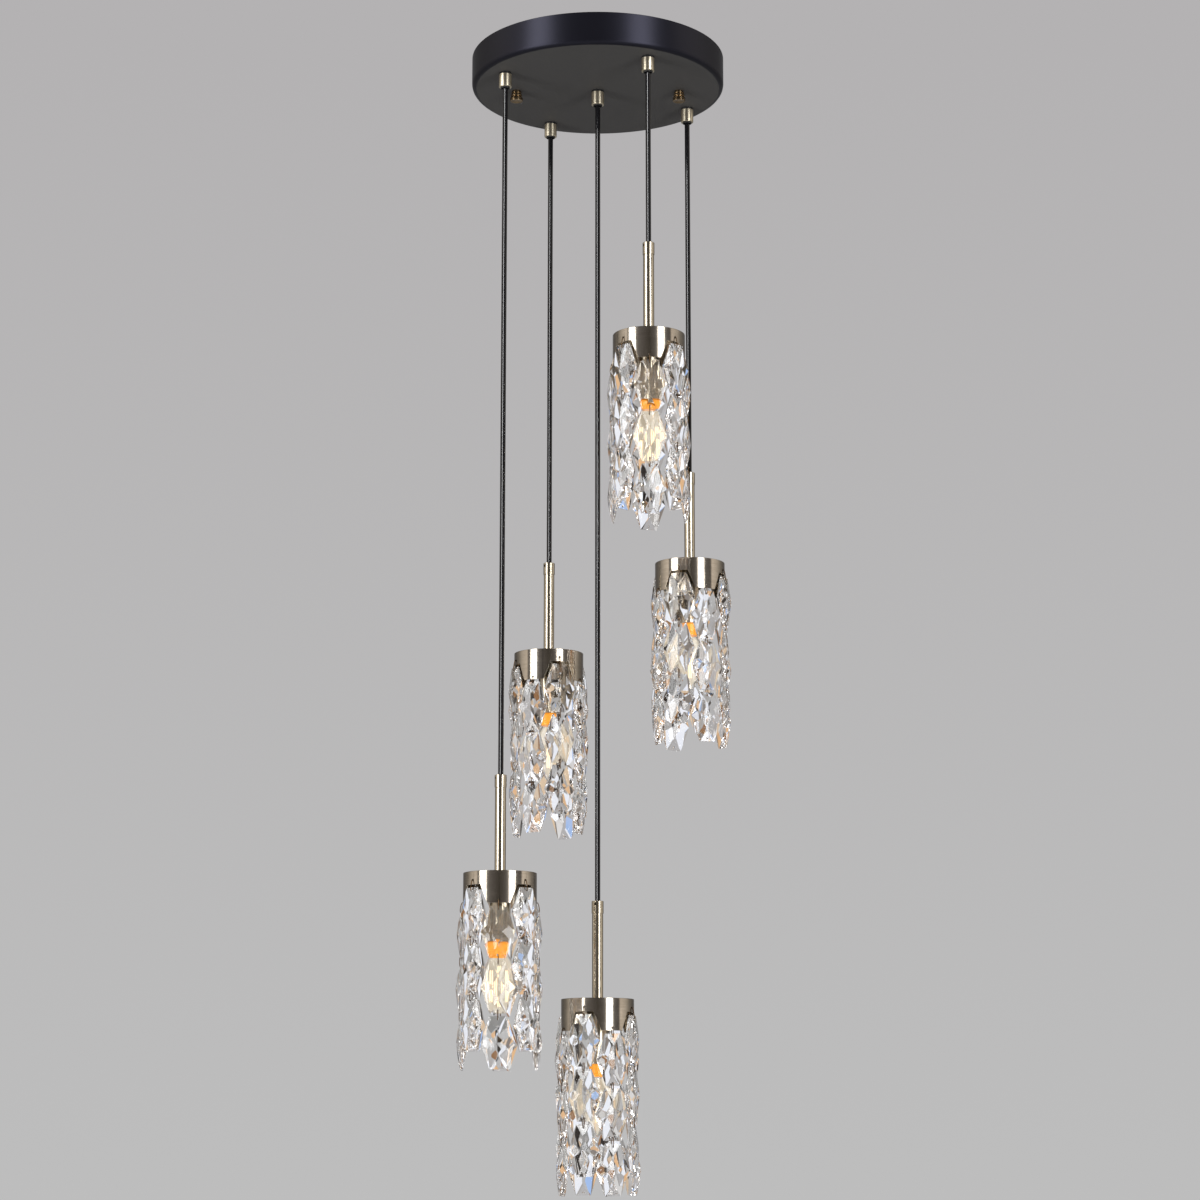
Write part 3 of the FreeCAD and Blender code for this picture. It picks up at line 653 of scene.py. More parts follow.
# %% Copies set round, and meshes joined
def set_round(thing, material, count, radius=0, drop=0, levels=1, pitch=0, start=0,
              sway=(0, 0, 0), seed=0):
    """Copies of a mesh round the upright axis. Lengths are in millimetres and angles in degrees."""
    holder = bpy.data.objects.new("thing", thing)
    values = {
        "Thing": holder,
        "Material": material,
        "Count": count,
        "Levels": levels,
        "Radius": radius * MM,
        "First Drop": drop * MM,
        "Pitch": pitch * MM,
        "Start Angle": math.radians(start),
        "Sway": [math.radians(angle) for angle in sway],
        "Seed": seed,
    }
    sockets = round_and_down.interface.items_tree
    inputs = {item.identifier: values[item.name] for item in sockets if item.in_out == "INPUT"}
    settings = {"node_group": round_and_down, **inputs}
    made = modified(bpy.data.meshes.new("points"), [("NODES", settings)])
    bpy.data.objects.remove(holder)
    return made


def joined(meshes):
    """Several meshes as one."""
    shape = bmesh.new()
    for mesh in meshes:
        shape.from_mesh(mesh)
    together = bpy.data.meshes.new("joined")
    shape.to_mesh(together)
    shape.free()
    for material in meshes[0].materials:
        together.materials.append(material)
    return together


# %% Setting the grips
for lamp in LAMPS:
    make_grip(lamp)

# %% [markdown]
# ## Knobs
#
# Two small turned knobs screw onto the studs and hold the pan to the ceiling. Each has two rings
# round its neck, where the fingers grip it, and a wide disc with a dished face at its foot.

# %% Knobs
KNOB_RINGS = ((-1.6, -3.6, 6), (-5, -7.2, 6.6))
KNOB_NECK = 5
KNOB_DISC_TOP = -8.8
KNOB_DISH = 1.2
KNOB_RIM = 1.5
KNOB_ROUNDING = 0.4


def make_knob(side):
    node = f"canopy_knob_{side}"
    place, radius, height = measured(node)
    place.z += height * MM
    outline = [(0, 0), (KNOB_NECK, 0)]
    for top, foot, ring_radius in KNOB_RINGS:
        outline += [(KNOB_NECK, top), (ring_radius, top, KNOB_ROUNDING),
                    (ring_radius, foot, KNOB_ROUNDING), (KNOB_NECK, foot)]
    outline += [
        (KNOB_NECK, KNOB_DISC_TOP), (radius, KNOB_DISC_TOP, KNOB_ROUNDING),
        (radius, -height, KNOB_ROUNDING), (radius - KNOB_RIM, -height, KNOB_ROUNDING),
        (0, KNOB_DISH - height),
    ]
    mesh = smoothed(lathe(outline))
    part(f"knob_{side}", mesh, place, f"knob_{side}", "antique_brass", knob_brass, node)


for side in ("left", "right"):
    make_knob(side)

# %% [markdown]
# ## Stems and their caps
#
# A brass tube carries each lamp, and a short cap on top of it grips the cord. A small grub screw in the
# side of the cap does the gripping, so the cap gets a drilled seat and the screw a recess for its key.
# Each lamp hangs turned a little differently, so each screw shows at another angle.

# %% Dark steel
dark_steel = make_finish(
    "blackened steel screw", {"Metallic": 1, "Roughness": 0.3}, grains=2500,
    colours=("#3a362e", "#5d5648"),
)

# %% Stems, caps and grub screws
CAP_BORE = 3.05
STEM_WALL = 1.2
GROOVE_DEPTH = 0.9
GROOVE_HEIGHT = 0.9
GRUB_RADIUS = 1.5
GRUB_SEAT = 0.15
GRUB_DEPTH = 1.6
GRUB_BELOW_TOP = 3.6
GRUB_SINK = 0.25
GRUB_ROUNDING = 0.3
GRUB_STEPS = 24
KEY_RADIUS = 0.75
KEY_DEPTH = 1
GRUB_ANGLES = {1: -62, 2: -35, 3: -48, 4: -66, 5: -20}
TURNED_STEPS = 64
FINE_ROUNDING = 0.2
SOFT_ROUNDING = 0.6


def turned_outwards(mesh, reach=0, height=0, angle=0):
    """An upright body laid down so that its top points away from the upright axis."""
    mesh.transform(Matrix.Rotation(math.radians(90), 4, "X"))
    mesh.transform(Matrix.Translation((0, -reach * MM, height * MM)))
    mesh.transform(Matrix.Rotation(math.radians(angle), 4, "Z"))
    return mesh


def make_stem(lamp):
    place, radius, length = measured(f"stem_{lamp}")
    outline = [
        (radius - STEM_WALL, 0), (radius, 0, FINE_ROUNDING), (radius, length, FINE_ROUNDING),
        (radius - STEM_WALL, length),
    ]
    mesh = smoothed(lathe(outline, TURNED_STEPS))
    part(f"stem_tube_{lamp}", mesh, place, f"lamp_{lamp}", "antique_brass", antique_brass,
         f"stem_{lamp}")


def make_cap(lamp):
    node = f"stem_cap_{lamp}"
    place, radius, height = measured(node)
    outline = [
        (CAP_BORE, 0), (radius - GROOVE_DEPTH, 0), (radius - GROOVE_DEPTH, GROOVE_HEIGHT),
        (radius, GROOVE_HEIGHT, FINE_ROUNDING / 2), (radius, height, SOFT_ROUNDING),
        (CAP_BORE, height, FINE_ROUNDING),
    ]
    level = height - GRUB_BELOW_TOP
    angle = GRUB_ANGLES[lamp]
    seat = rod(GRUB_RADIUS + GRUB_SEAT, -GRUB_DEPTH, GRUB_DEPTH, GRUB_STEPS)
    seat = turned_outwards(seat, radius, level, angle)
    mesh = smoothed(cut(lathe(outline, TURNED_STEPS), [seat]))
    part(f"cord_cap_{lamp}", mesh, place, f"lamp_{lamp}", "antique_brass", antique_brass, node)
    screw_outline = [
        (0, -GRUB_DEPTH), (GRUB_RADIUS, -GRUB_DEPTH), (GRUB_RADIUS, 0, GRUB_ROUNDING),
        (KEY_RADIUS, 0), (KEY_RADIUS, -KEY_DEPTH), (0, -KEY_DEPTH),
    ]
    screw = turned_outwards(lathe(screw_outline, GRUB_STEPS), radius - GRUB_SINK, level, angle)
    part(f"grub_screw_{lamp}", smoothed(screw), place, f"lamp_{lamp}", "dark_bronze", dark_steel)


for lamp in LAMPS:
    make_stem(lamp)
    make_cap(lamp)

# %% [markdown]
# ## Collars
#
# The collar is a drawn brass cap. Four trapezoid windows are punched out of its skirt, so that four
# tabs stay between them, and a small hole is drilled over each window and in each tab for the rings
# that carry the crystals. A lathe makes the cap, booleans punch the windows and the tree from above
# sets out the drills.

# %% Collars
COLLAR_RADIUS = 41
COLLAR_WALL = 1.2
COLLAR_BAND = 15
WINDOW_TOP_ANGLE = 15
WINDOW_FOOT_ANGLE = 27
WINDOW_OVERRUN = 2
NIPPLE_HOLE = 5.05
HOLE_RADIUS = 1.25
WINDOW_HOLE_LEVEL = 10
TAB_HOLE_LEVEL = 33
TABS = 4
COLLAR_STEPS = 192
COLLAR_EDGE = 0.25
COLLAR_ROUNDING = 0.5
COLLAR_INNER_ROUNDING = 0.4
COLLAR_DRILL_STEPS = 16
HALF_STEP = 180 / TABS
TURNS = {1: 0, 2: 25, 3: -25.5, 4: 0, 5: 23.5}


def window_cutter(radius, height, angle):
    """A bar of trapezoid section that goes right across the collar and opens two windows."""
    half_top = radius * math.sin(math.radians(WINDOW_TOP_ANGLE))
    half_foot = radius * math.sin(math.radians(WINDOW_FOOT_ANGLE))
    lean = (half_foot - half_top) * WINDOW_OVERRUN / (height - COLLAR_BAND)
    section = [
        (-half_top, -COLLAR_BAND), (half_top, -COLLAR_BAND),
        (half_foot + lean, -height - WINDOW_OVERRUN), (-half_foot - lean, -height - WINDOW_OVERRUN),
    ]
    reach = radius + WINDOW_OVERRUN
    shape = bmesh.new()
    front = [shape.verts.new((x, -reach, z)) for x, z in section]
    back = [shape.verts.new((x, reach, z)) for x, z in section]
    shape.faces.new(front)
    shape.faces.new(back)
    for here in range(len(section)):
        shape.faces.new([front[here - 1], front[here], back[here], back[here - 1]])
    bmesh.ops.recalc_face_normals(shape, faces=shape.faces)
    mesh = mesh_from(shape, "window")
    mesh.transform(Matrix.Rotation(math.radians(angle), 4, "Z"))
    return mesh


def make_collar_mesh(radius, height):
    outline = [
        (NIPPLE_HOLE, 0), (radius, 0, COLLAR_ROUNDING), (radius, -height),
        (radius - COLLAR_WALL, -height),
        (radius - COLLAR_WALL, -COLLAR_WALL, COLLAR_INNER_ROUNDING), (NIPPLE_HOLE, -COLLAR_WALL),
    ]
    windows = [window_cutter(radius, height, HALF_STEP * way) for way in (1, -1)]
    drill = turned_outwards(rod(HOLE_RADIUS, -COLLAR_WALL, COLLAR_WALL, COLLAR_DRILL_STEPS))
    wall_middle = radius - COLLAR_WALL / 2
    drills = [
        set_round(drill, None, TABS, radius=wall_middle, drop=WINDOW_HOLE_LEVEL, start=HALF_STEP),
        set_round(drill, None, TABS, radius=wall_middle, drop=TAB_HOLE_LEVEL),
    ]
    punched = cut(lathe(outline, COLLAR_STEPS), windows + drills)
    bevel = {"width": COLLAR_EDGE * MM, "segments": 2, "limit_method": "ANGLE",
             "angle_limit": SHARP_ANGLE, "harden_normals": False}
    return smoothed(modified(punched, [("BEVEL", bevel)]))


# %% Five collars
def lamp_place(lamp):
    """The middle of the lamp where its stem meets its collar."""
    place = middle_of(f"stem_{lamp}")
    place.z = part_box(f"collar_{lamp}")[1].z
    return place


def make_collar(lamp):
    mesh = collar_mesh.copy()
    mesh.transform(Matrix.Rotation(math.radians(TURNS[lamp]), 4, "Z"))
    part(f"crown_collar_{lamp}", mesh, lamp_place(lamp), f"lamp_{lamp}", "antique_brass", collar_brass,
         f"collar_{lamp}")


COLLAR_HEIGHT = measured("collar_1")[2]
collar_mesh = make_collar_mesh(COLLAR_RADIUS, COLLAR_HEIGHT)
for lamp in LAMPS:
    make_collar(lamp)
print(f"collar: {COLLAR_RADIUS * 2} mm across, {len(collar_mesh.polygons)} faces")

# %% [markdown]
# ## Sockets
#
# Under the collar a plain brass sleeve covers the lamp holder. It is screwed to the stem by a nipple
# that also holds the collar, and the bulb's screw shell goes up into its mouth.

# %% Sockets
SOCKET_NIPPLE = 4.95
SOCKET_MOUTH = 7.1
SOCKET_BORE = 27
SHOULDER_ROUNDING = 0.5
JOINT_DEPTH = 0.5
# Heights over the foot where the joint line's bevel and groove begin and end.
JOINT_LEVELS = (6, 5.6, 5, 4.6)


def make_socket(lamp):
    place = lamp_place(lamp)
    low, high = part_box(f"socket_{lamp}")
    radius = (high.x - low.x) / 2 / MM
    foot = (low.z - place.z) / MM
    nipple = (high.z - place.z) / MM
    over, top, bottom, under = [foot + level for level in JOINT_LEVELS]
    outline = [
        (0, nipple), (SOCKET_NIPPLE, nipple), (SOCKET_NIPPLE, -COLLAR_WALL),
        (radius, -COLLAR_WALL, SHOULDER_ROUNDING), (radius, over, FINE_ROUNDING),
        (radius - JOINT_DEPTH, top), (radius - JOINT_DEPTH, bottom), (radius, under, FINE_ROUNDING),
        (radius, foot, SOFT_ROUNDING), (SOCKET_MOUTH, foot, FINE_ROUNDING),
        (SOCKET_MOUTH, foot + SOCKET_BORE), (0, foot + SOCKET_BORE),
    ]
    mesh = smoothed(lathe(outline, TURNED_STEPS))
    part(f"socket_sleeve_{lamp}", mesh, place, f"lamp_{lamp}", "antique_brass", antique_brass,
         f"socket_{lamp}")


for lamp in LAMPS:
    make_socket(lamp)

# %% [markdown]
# ## Bulbs
#
# A candle bulb has a rolled screw shell, an amber plastic ring under it, a thin blown envelope, and
# glowing filaments. Their light is faint beside the studio's, so the renderer isn't told to look for
# it, which keeps small shiny parts free of specks. The shell's thread is one rule: the radius rises
# and falls with the height, and the wave moves on by one turn for each pitch.

# %% Finishes of the bulb
GLOW_SHARE = 0.28

plated_shell = make_finish(
    "nickel-plated rolled brass", {"Base Color": linear("#c9c5bb"), "Metallic": 1}, grains=300,
    detail=3, gloss=(0.2, 0.35),
)
amber = make_finish(
    "amber moulded plastic, lit from inside",
    {"Roughness": 0.3, "Coat Weight": 0.4, "Emission Strength": 0.55}, grains=260, detail=3,
    colours=("#e98a14", "#ffac38"),
)
blown_glass = make_finish("clear blown glass", {
    "Base Color": linear("#fffdf8"), "Roughness": 0, "IOR": 1.5, "Transmission Weight": 1,
})
filament_glow = make_finish("glowing filament under warm phosphor", {
    "Base Color": linear("#ffd9a0"), "Roughness": 0.6,
    "Emission Color": linear("#ffe6c4"), "Emission Strength": 1.6,
})


def make_glow():
    material, tree = material_called("warm light that the envelope scatters")
    clear = add(tree, "ShaderNodeBsdfTransparent")
    light = add(tree, "ShaderNodeEmission", {"Color": linear("#fff0d6"), "Strength": 1})
    both = add(tree, "ShaderNodeMixShader", {0: GLOW_SHARE, 1: clear, 2: light})
    add(tree, "ShaderNodeOutputMaterial", {"Surface": both})
    return material


envelope_glow = make_glow()
for faint_light in (amber, filament_glow, envelope_glow):
    faint_light.cycles.emission_sampling = "NONE"

# %% Screw shells
THREAD_PITCH = 2.82
THREAD_DEPTH = 0.5
THREAD_FADE = 2
THREAD_BELOW_TOP = 5
RINGS_PER_PITCH = 8
SHELL_STEPS = 48
# Radius, and depth under the top, from the end of the thread to the contact.
SHELL_TIP = ((5.4, 3.6), (2.6, 2), (2.2, 0.6), (1.4, 0))


def screw_shell(radius, height):
    """A rolled thread: the radius is a wave that climbs by one pitch in each turn."""
    shape = bmesh.new()
    angles = [FULL_TURN * step / SHELL_STEPS for step in range(SHELL_STEPS)]
    thread_top = height - THREAD_BELOW_TOP
    levels = int(thread_top / THREAD_PITCH * RINGS_PER_PITCH)
    sizes = []
    for level in range(levels + 1):
        z = thread_top * level / levels
        fade = min(1, z / THREAD_FADE, (thread_top - z) / THREAD_FADE)
        waves = [math.cos(FULL_TURN * z / THREAD_PITCH - angle) * fade for angle in angles]
        sizes.append(([radius - THREAD_DEPTH * (1 - wave) / 2 for wave in waves], z))
    sizes += [([tip_radius] * SHELL_STEPS, height - below) for tip_radius, below in SHELL_TIP]
    rings = []
    for radii, z in sizes:
        places = [(r * math.cos(angle), r * math.sin(angle), z) for r, angle in zip(radii, angles)]
        rings.append([shape.verts.new(place) for place in places])
    for here, there in zip(rings, rings[1:]):
        for step in range(SHELL_STEPS):
            following = (step + 1) % SHELL_STEPS
            shape.faces.new([here[step], here[following], there[following], there[step]])
    shape.faces.new(rings[0])
    shape.faces.new(rings[-1])
    bmesh.ops.recalc_face_normals(shape, faces=shape.faces)
    return mesh_from(shape, "shell")


# %% Envelope
ENVELOPE_WALL = 0.7
ENVELOPE_SHARES = [
    (0.5, 0), (0.57, 0.06), (0.8, 0.17), (0.96, 0.28), (1, 0.4), (0.94, 0.53),
    (0.78, 0.66), (0.55, 0.79), (0.3, 0.91), (0.12, 0.98), (0, 1),
]
CURVE_STEPS = 5


def flowing(corners):
    """A smooth line through the corners, each part of it worked out from the four corners round it."""
    points = []
    padded = [corners[0]] + corners + [corners[-1]]
    for before, here, there, after in zip(padded, padded[1:], padded[2:], padded[3:]):
        for step in range(CURVE_STEPS):
            t = step / CURVE_STEPS
            weights = (
                (-t + 2 * t ** 2 - t ** 3) / 2,
                (2 - 5 * t ** 2 + 3 * t ** 3) / 2,
                (t + 4 * t ** 2 - 3 * t ** 3) / 2,
                (-t ** 2 + t ** 3) / 2,
            )
            near = list(zip(weights, (before, here, there, after)))
            points.append(tuple(sum(w * corner[axis] for w, corner in near) for axis in (0, 1)))
    return points + [corners[-1]]


def envelope_line(belly, length):
    """The candle shape, from its neck to its tip, as shares of its greatest radius and its length."""
    return flowing([(belly * across, -length * down) for across, down in ENVELOPE_SHARES])


def inset(line, wall):
    """A line moved in by a wall, and cut off at the axis."""
    length = -line[-1][1]
    moved = [(r - wall, z * (length - wall) / length) for r, z in line]
    return [point for point in moved[:-1] if point[0] > wall / 2] + [(0, wall - length)]


# %% Bulbs
SHELL_RADIUS = 6.9
# Corners of the amber ring: out from its rim, up from its top or from its foot, and rounding.
RING_SHOULDER = [(-0.6, 0, 0.4), (0, -1.2, 0.5)]
RING_STEP = [(0, 3.6, 0.3), (-0.7, 3, 0.3), (-0.7, 0, 0.4)]
GLOW_GAP = 3
GLOW_NECK = 2
GLOW_TOP = 1
GLOW_STEPS = 48
FILAMENT_COUNT = 3
FILAMENT_RADIUS = 0.7
FILAMENT_ROUNDING = 0.5
FILAMENT_SPREAD = 1.5
FILAMENT_TOP = 27
FILAMENT_FOOT = 50
FILAMENT_START = 20
FILAMENT_STEPS = 12


def make_bulb(lamp):
    body = f"bulb_{lamp}"
    base_foot, ring_radius, base_height = measured(f"bulb_base_{lamp}")
    neck_place, belly, length = measured(f"bulb_glass_{lamp}")
    neck_place.z += length * MM
    ring_place = neck_place.copy()
    ring_place.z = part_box(f"socket_{lamp}")[0].z
    ring_height = (ring_place.z - base_foot.z) / MM

    shell = smoothed(screw_shell(SHELL_RADIUS, base_height - ring_height))
    part(f"bulb_shell_{lamp}", shell, ring_place, body, "zinc_steel", plated_shell, f"bulb_base_{lamp}")

    outline = [(0, 0)]
    outline += [(ring_radius + out, down, rounding) for out, down, rounding in RING_SHOULDER]
    outline += [(ring_radius + out, up - ring_height, rounding) for out, up, rounding in RING_STEP]
    ring = smoothed(lathe(outline + [(0, -ring_height)], TURNED_STEPS))
    part(f"amber_ring_{lamp}", ring, ring_place, body, "amber_base", amber)

    outer = envelope_line(belly, length)
    envelope = smoothed(lathe(outer + inset(outer, ENVELOPE_WALL)[::-1], TURNED_STEPS))
    part(f"bulb_envelope_{lamp}", envelope, neck_place, body, "bulb_glass", blown_glass,
         f"bulb_glass_{lamp}")

    haze = [point for point in inset(outer, GLOW_GAP) if point[1] < -GLOW_NECK]
    glow = smoothed(lathe([(0, -GLOW_TOP)] + haze, GLOW_STEPS))
    part(f"bulb_glow_{lamp}", glow, neck_place, body, "bulb_glass", envelope_glow)

    stick_outline = [
        (0, -FILAMENT_TOP), (FILAMENT_RADIUS, -FILAMENT_TOP, FILAMENT_ROUNDING),
        (FILAMENT_RADIUS, -FILAMENT_FOOT, FILAMENT_ROUNDING), (0, -FILAMENT_FOOT),
    ]
    sticks = set_round(lathe(stick_outline, FILAMENT_STEPS), filament_glow, FILAMENT_COUNT,
                       radius=FILAMENT_SPREAD, start=FILAMENT_START)
    sticks.shade_smooth()
    part(f"filaments_{lamp}", sticks, neck_place, body, "bulb_glass", filament_glow)


for lamp in LAMPS:
    make_bulb(lamp)

# %% [markdown]
# ## Crystals
#
# Each crystal is a long hexagon of clear glass that a wheel has cut into flat facets. Polished facets
# stay perfectly flat, so the part is cut here as the cutter cuts it: from a block, one flat plane at a
# time. A table gives each kind of facet by its height over the middle and by how far it falls for each
# millimetre across and along, and symmetry gives the rest. The back is cut lower, with a flat table, so
# its edges cross those of the front and break the light up finely. Two holes near the tips are drilled
# last.

# %% Cut crystal
HALF_LENGTH = 28.5
HALF_WIDTH = 19
HALF_END_WIDTH = 9
HALF_THICKNESS = 6
RIM_FACETS = [(6.55, 0.3026, 0), (7.79, 0, 0.2452), (9.44, 0.4547, 0.1595)]
FRONT_FACETS = [(6.0, 0.1834, 0.1245)] + RIM_FACETS
BACK_FACETS = [(4.9, 0, 0), (6.4, 0.22, 0.14)] + RIM_FACETS
DRILL_RADIUS = 1.1
DRILL_FROM_TIP = 3.5
DRILL_STEPS = 10
CUT_TOLERANCE = 1e-5

crystal_glass = make_finish("clear crystal glass, wheel-cut and polished", {
    "Base Color": linear("#fdfdfd"), "Roughness": 0, "IOR": 1.5, "Transmission Weight": 1,
})


def slice_off(shape, point, normal):
    """Cut a block along a plane, throw away what lies in front of it and close the cut."""
    everything = shape.verts[:] + shape.edges[:] + shape.faces[:]
    result = bmesh.ops.bisect_plane(shape, geom=everything, plane_co=point, plane_no=normal,
                                    dist=CUT_TOLERANCE, clear_outer=True)
    rim = [edge for edge in result["geom_cut"] if isinstance(edge, bmesh.types.BMEdge)]
    if rim:
        bmesh.ops.edgenet_fill(shape, edges=rim)


def cut_crystal():
    """One crystal with its upper end at the origin, hanging down, facing -Y."""
    shape = bmesh.new()
    bmesh.ops.create_cube(shape, size=2)
    block = (HALF_WIDTH, HALF_THICKNESS, HALF_LENGTH)
    bmesh.ops.scale(shape, vec=block, verts=shape.verts)
    signs = [(x, z) for x in (1, -1) for z in (1, -1)]
    for x, z in signs:
        slope = (x * HALF_LENGTH, 0, z * (HALF_WIDTH - HALF_END_WIDTH))
        slice_off(shape, (x * HALF_WIDTH, 0, 0), slope)
    for side, facets in ((-1, FRONT_FACETS), (1, BACK_FACETS)):
        for height, across, along in facets:
            falls = {(x * across, z * along) for x, z in signs}
            for fall_x, fall_z in sorted(falls):
                slice_off(shape, (0, side * height, 0), (fall_x, side, fall_z))
    bmesh.ops.translate(shape, vec=(0, 0, -HALF_LENGTH), verts=shape.verts)
    bmesh.ops.recalc_face_normals(shape, faces=shape.faces)
    mesh = mesh_from(shape, "crystal")
    drills = []
    for level in (DRILL_FROM_TIP, 2 * HALF_LENGTH - DRILL_FROM_TIP):
        drill = rod(DRILL_RADIUS, -HALF_THICKNESS, HALF_THICKNESS, DRILL_STEPS)
        drills.append(turned_outwards(drill, height=-level))
    return cut(mesh, drills)


crystal = cut_crystal()
print("crystal:", len(crystal.polygons), "faces")

# %% [markdown]
# Eight strands hang round each collar, one from each tab and one in each window, which starts higher.
# A strand is three crystals, and the ends of neighbouring crystals are joined by wire rings. The
# crystals sway a little about their strand, so that no two of them catch the light alike.

# %% Crystal strands
STRAND_RADIUS = COLLAR_RADIUS + 0.6
STRAND_PITCH = 59.8
CRYSTALS_DOWN = 3
TAB_START = 39.5
WINDOW_START = 18.5
CRYSTAL_SWAY = (1.5, 1.5, 7)
STRANDS = ((0, TAB_START), (HALF_STEP, WINDOW_START))


def make_crystals(lamp):
    meshes = []
    for start, drop in STRANDS:
        meshes.append(set_round(crystal, crystal_glass, TABS, radius=STRAND_RADIUS, drop=drop,
                                levels=CRYSTALS_DOWN, pitch=STRAND_PITCH, start=start + TURNS[lamp],
                                sway=CRYSTAL_SWAY, seed=lamp * 2 + (start > 0)))
    part(f"cut_crystals_{lamp}", joined(meshes), lamp_place(lamp), f"lamp_{lamp}", "crystal_glass",
         crystal_glass, f"crystals_{lamp}")


for lamp in LAMPS:
    make_crystals(lamp)

# %% [markdown]
# The rings are bent from darkened bronze wire. A ring between two crystals goes through both drilled
# holes. A ring at the collar goes through the wall, down behind it, through the crystal and up again
# in front. Each is a closed smooth curve through a few points, in millimetres outwards and down.

# %% Bronze wire
WIRE_RADIUS = 0.5

bronze_wire = make_finish(
    "darkened bronze wire", {"Metallic": 1, "Roughness": 0.32}, grains=500,
    colours=("#3b2a1a", "#6a5135"),
)


def wire_ring(route):
    """A closed ring of wire through points (outwards, up) in millimetres, at the -Y side."""
    places = [(0, -outwards * MM, up * MM) for outwards, up in route]
    holder = curve_called("ring", [places], WIRE_RADIUS * MM, closed=True, roundness=1, steps=3)
    mesh = modified(holder.data, [])
    bpy.data.objects.remove(holder)
    return mesh


# %% Rings
RING_HALF_WIDTH = 2.4
PAST_HOLE = 0.4
OFF_WALL = 1.4
WALL_INSIDE = COLLAR_RADIUS - COLLAR_WALL
BELOW_HOLE = 1
BELOW_WALL = 1.2
RISE_BEHIND = 2.4
RISE_IN_FRONT = 4
HOOKS = ((TAB_HOLE_LEVEL, COLLAR_HEIGHT), (WINDOW_HOLE_LEVEL, COLLAR_BAND))


def link_ring():
    """A ring from one crystal's lower hole to the next one's upper hole, about its own middle."""
    high = (STRAND_PITCH - 2 * HALF_LENGTH) / 2 + DRILL_FROM_TIP + PAST_HOLE
    wide = RING_HALF_WIDTH
    return wire_ring([
        (0, high), (wide, high), (wide, 0), (wide, -high),
        (0, -high), (-wide, -high), (-wide, 0), (-wide, high),
    ])


def hook_ring(hole_level, wall_foot, crystal_start):
    """A ring from a hole in the collar's wall to the top crystal of a strand."""
    low = -crystal_start - DRILL_FROM_TIP - PAST_HOLE
    inside = WALL_INSIDE - OFF_WALL
    behind = STRAND_RADIUS - RING_HALF_WIDTH
    front = STRAND_RADIUS + RING_HALF_WIDTH
    return wire_ring([
        (inside, PAST_HOLE - hole_level), (inside, -hole_level - BELOW_HOLE),
        (inside, -wall_foot - BELOW_WALL), (behind, low + RISE_BEHIND), (behind, low),
        (STRAND_RADIUS, low), (front, low), (front, low + RISE_IN_FRONT),
        (COLLAR_RADIUS + OFF_WALL, -hole_level), (COLLAR_RADIUS, PAST_HOLE - hole_level),
    ])


def make_rings(lamp):
    meshes = []
    for (start, drop), (hole, foot) in zip(STRANDS, HOOKS):
        angle = start + TURNS[lamp]
        meshes.append(set_round(hook_ring(hole, foot, drop), bronze_wire, TABS, start=angle))
        first_gap = drop + (2 * HALF_LENGTH + STRAND_PITCH) / 2
        meshes.append(set_round(link_ring(), bronze_wire, TABS, radius=STRAND_RADIUS, drop=first_gap,
                                levels=CRYSTALS_DOWN - 1, pitch=STRAND_PITCH, start=angle))
    mesh = joined(meshes)
    mesh.shade_smooth()
    part(f"wire_rings_{lamp}", mesh, lamp_place(lamp), f"lamp_{lamp}", "dark_bronze", bronze_wire,
         f"crystal_pins_{lamp}")


for lamp in LAMPS:
    make_rings(lamp)

# %% [markdown]
# ## Inside the pan
#
# The pan is open at the ceiling, so the strap, its studs and nuts and the wiring can be seen from
# above. Their own shapes from the frame are right, so they only get their finishes, and the cord tails
# become smooth cord.

# %% Zinc and nylon
zinc = make_finish(
    "zinc-plated steel", {"Metallic": 1, "Roughness": 0.36}, grains=160, detail=0,
    colours=("#b9bcc0", "#9a9da3"), pattern="ShaderNodeTexVoronoi",
)
nylon = make_finish("moulded nylon terminal", {
    "Base Color": linear("#e4e0d4"), "Roughness": 0.45,
    "Subsurface Weight": 0.1, "Subsurface Scale": 0.001,
}, grains=1250, relief=(0.1, 0.1 * MM))
inner_finishes = {
    "crossbar": zinc,
    "mounting_studs": zinc,
    "crossbar_fasteners": zinc,
    "grip_locknuts": antique_brass,
    "terminal_block": nylon,
}
for node, material in inner_finishes.items():
    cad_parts[node].material_slots[0].material = material
print("inner parts:", ", ".join(inner_finishes))

# %% [markdown]
# ## The studio
#
# The picture's background is a plain pale wall that is a little darker at the top. It is painted on
# the world. What the object mirrors and bends is painted there too, for each kind of ray in its own
# way. Metal and enamel mirror a room that is dim behind the camera, bright at both sides and dim again
# behind the object. The crystals bend the light of a studio hung with cards. Most of them are grey or
# white, with cream, brown, dark, pale blue and pale orange ones between. A facet is flat, so it sees
# about one card, and that is what gives each facet a tone of its own. Straight behind the object the
# crystals show the clear wall, with a tall white card on either side of it. The object's light comes
# from an even world and two tall soft boxes in front, to the left and the right. Seen through the
# glass, both together would turn too many facets white, so the left one is hidden there. The cords get
# a narrow box of their own instead, which draws one thin light line down each of them.

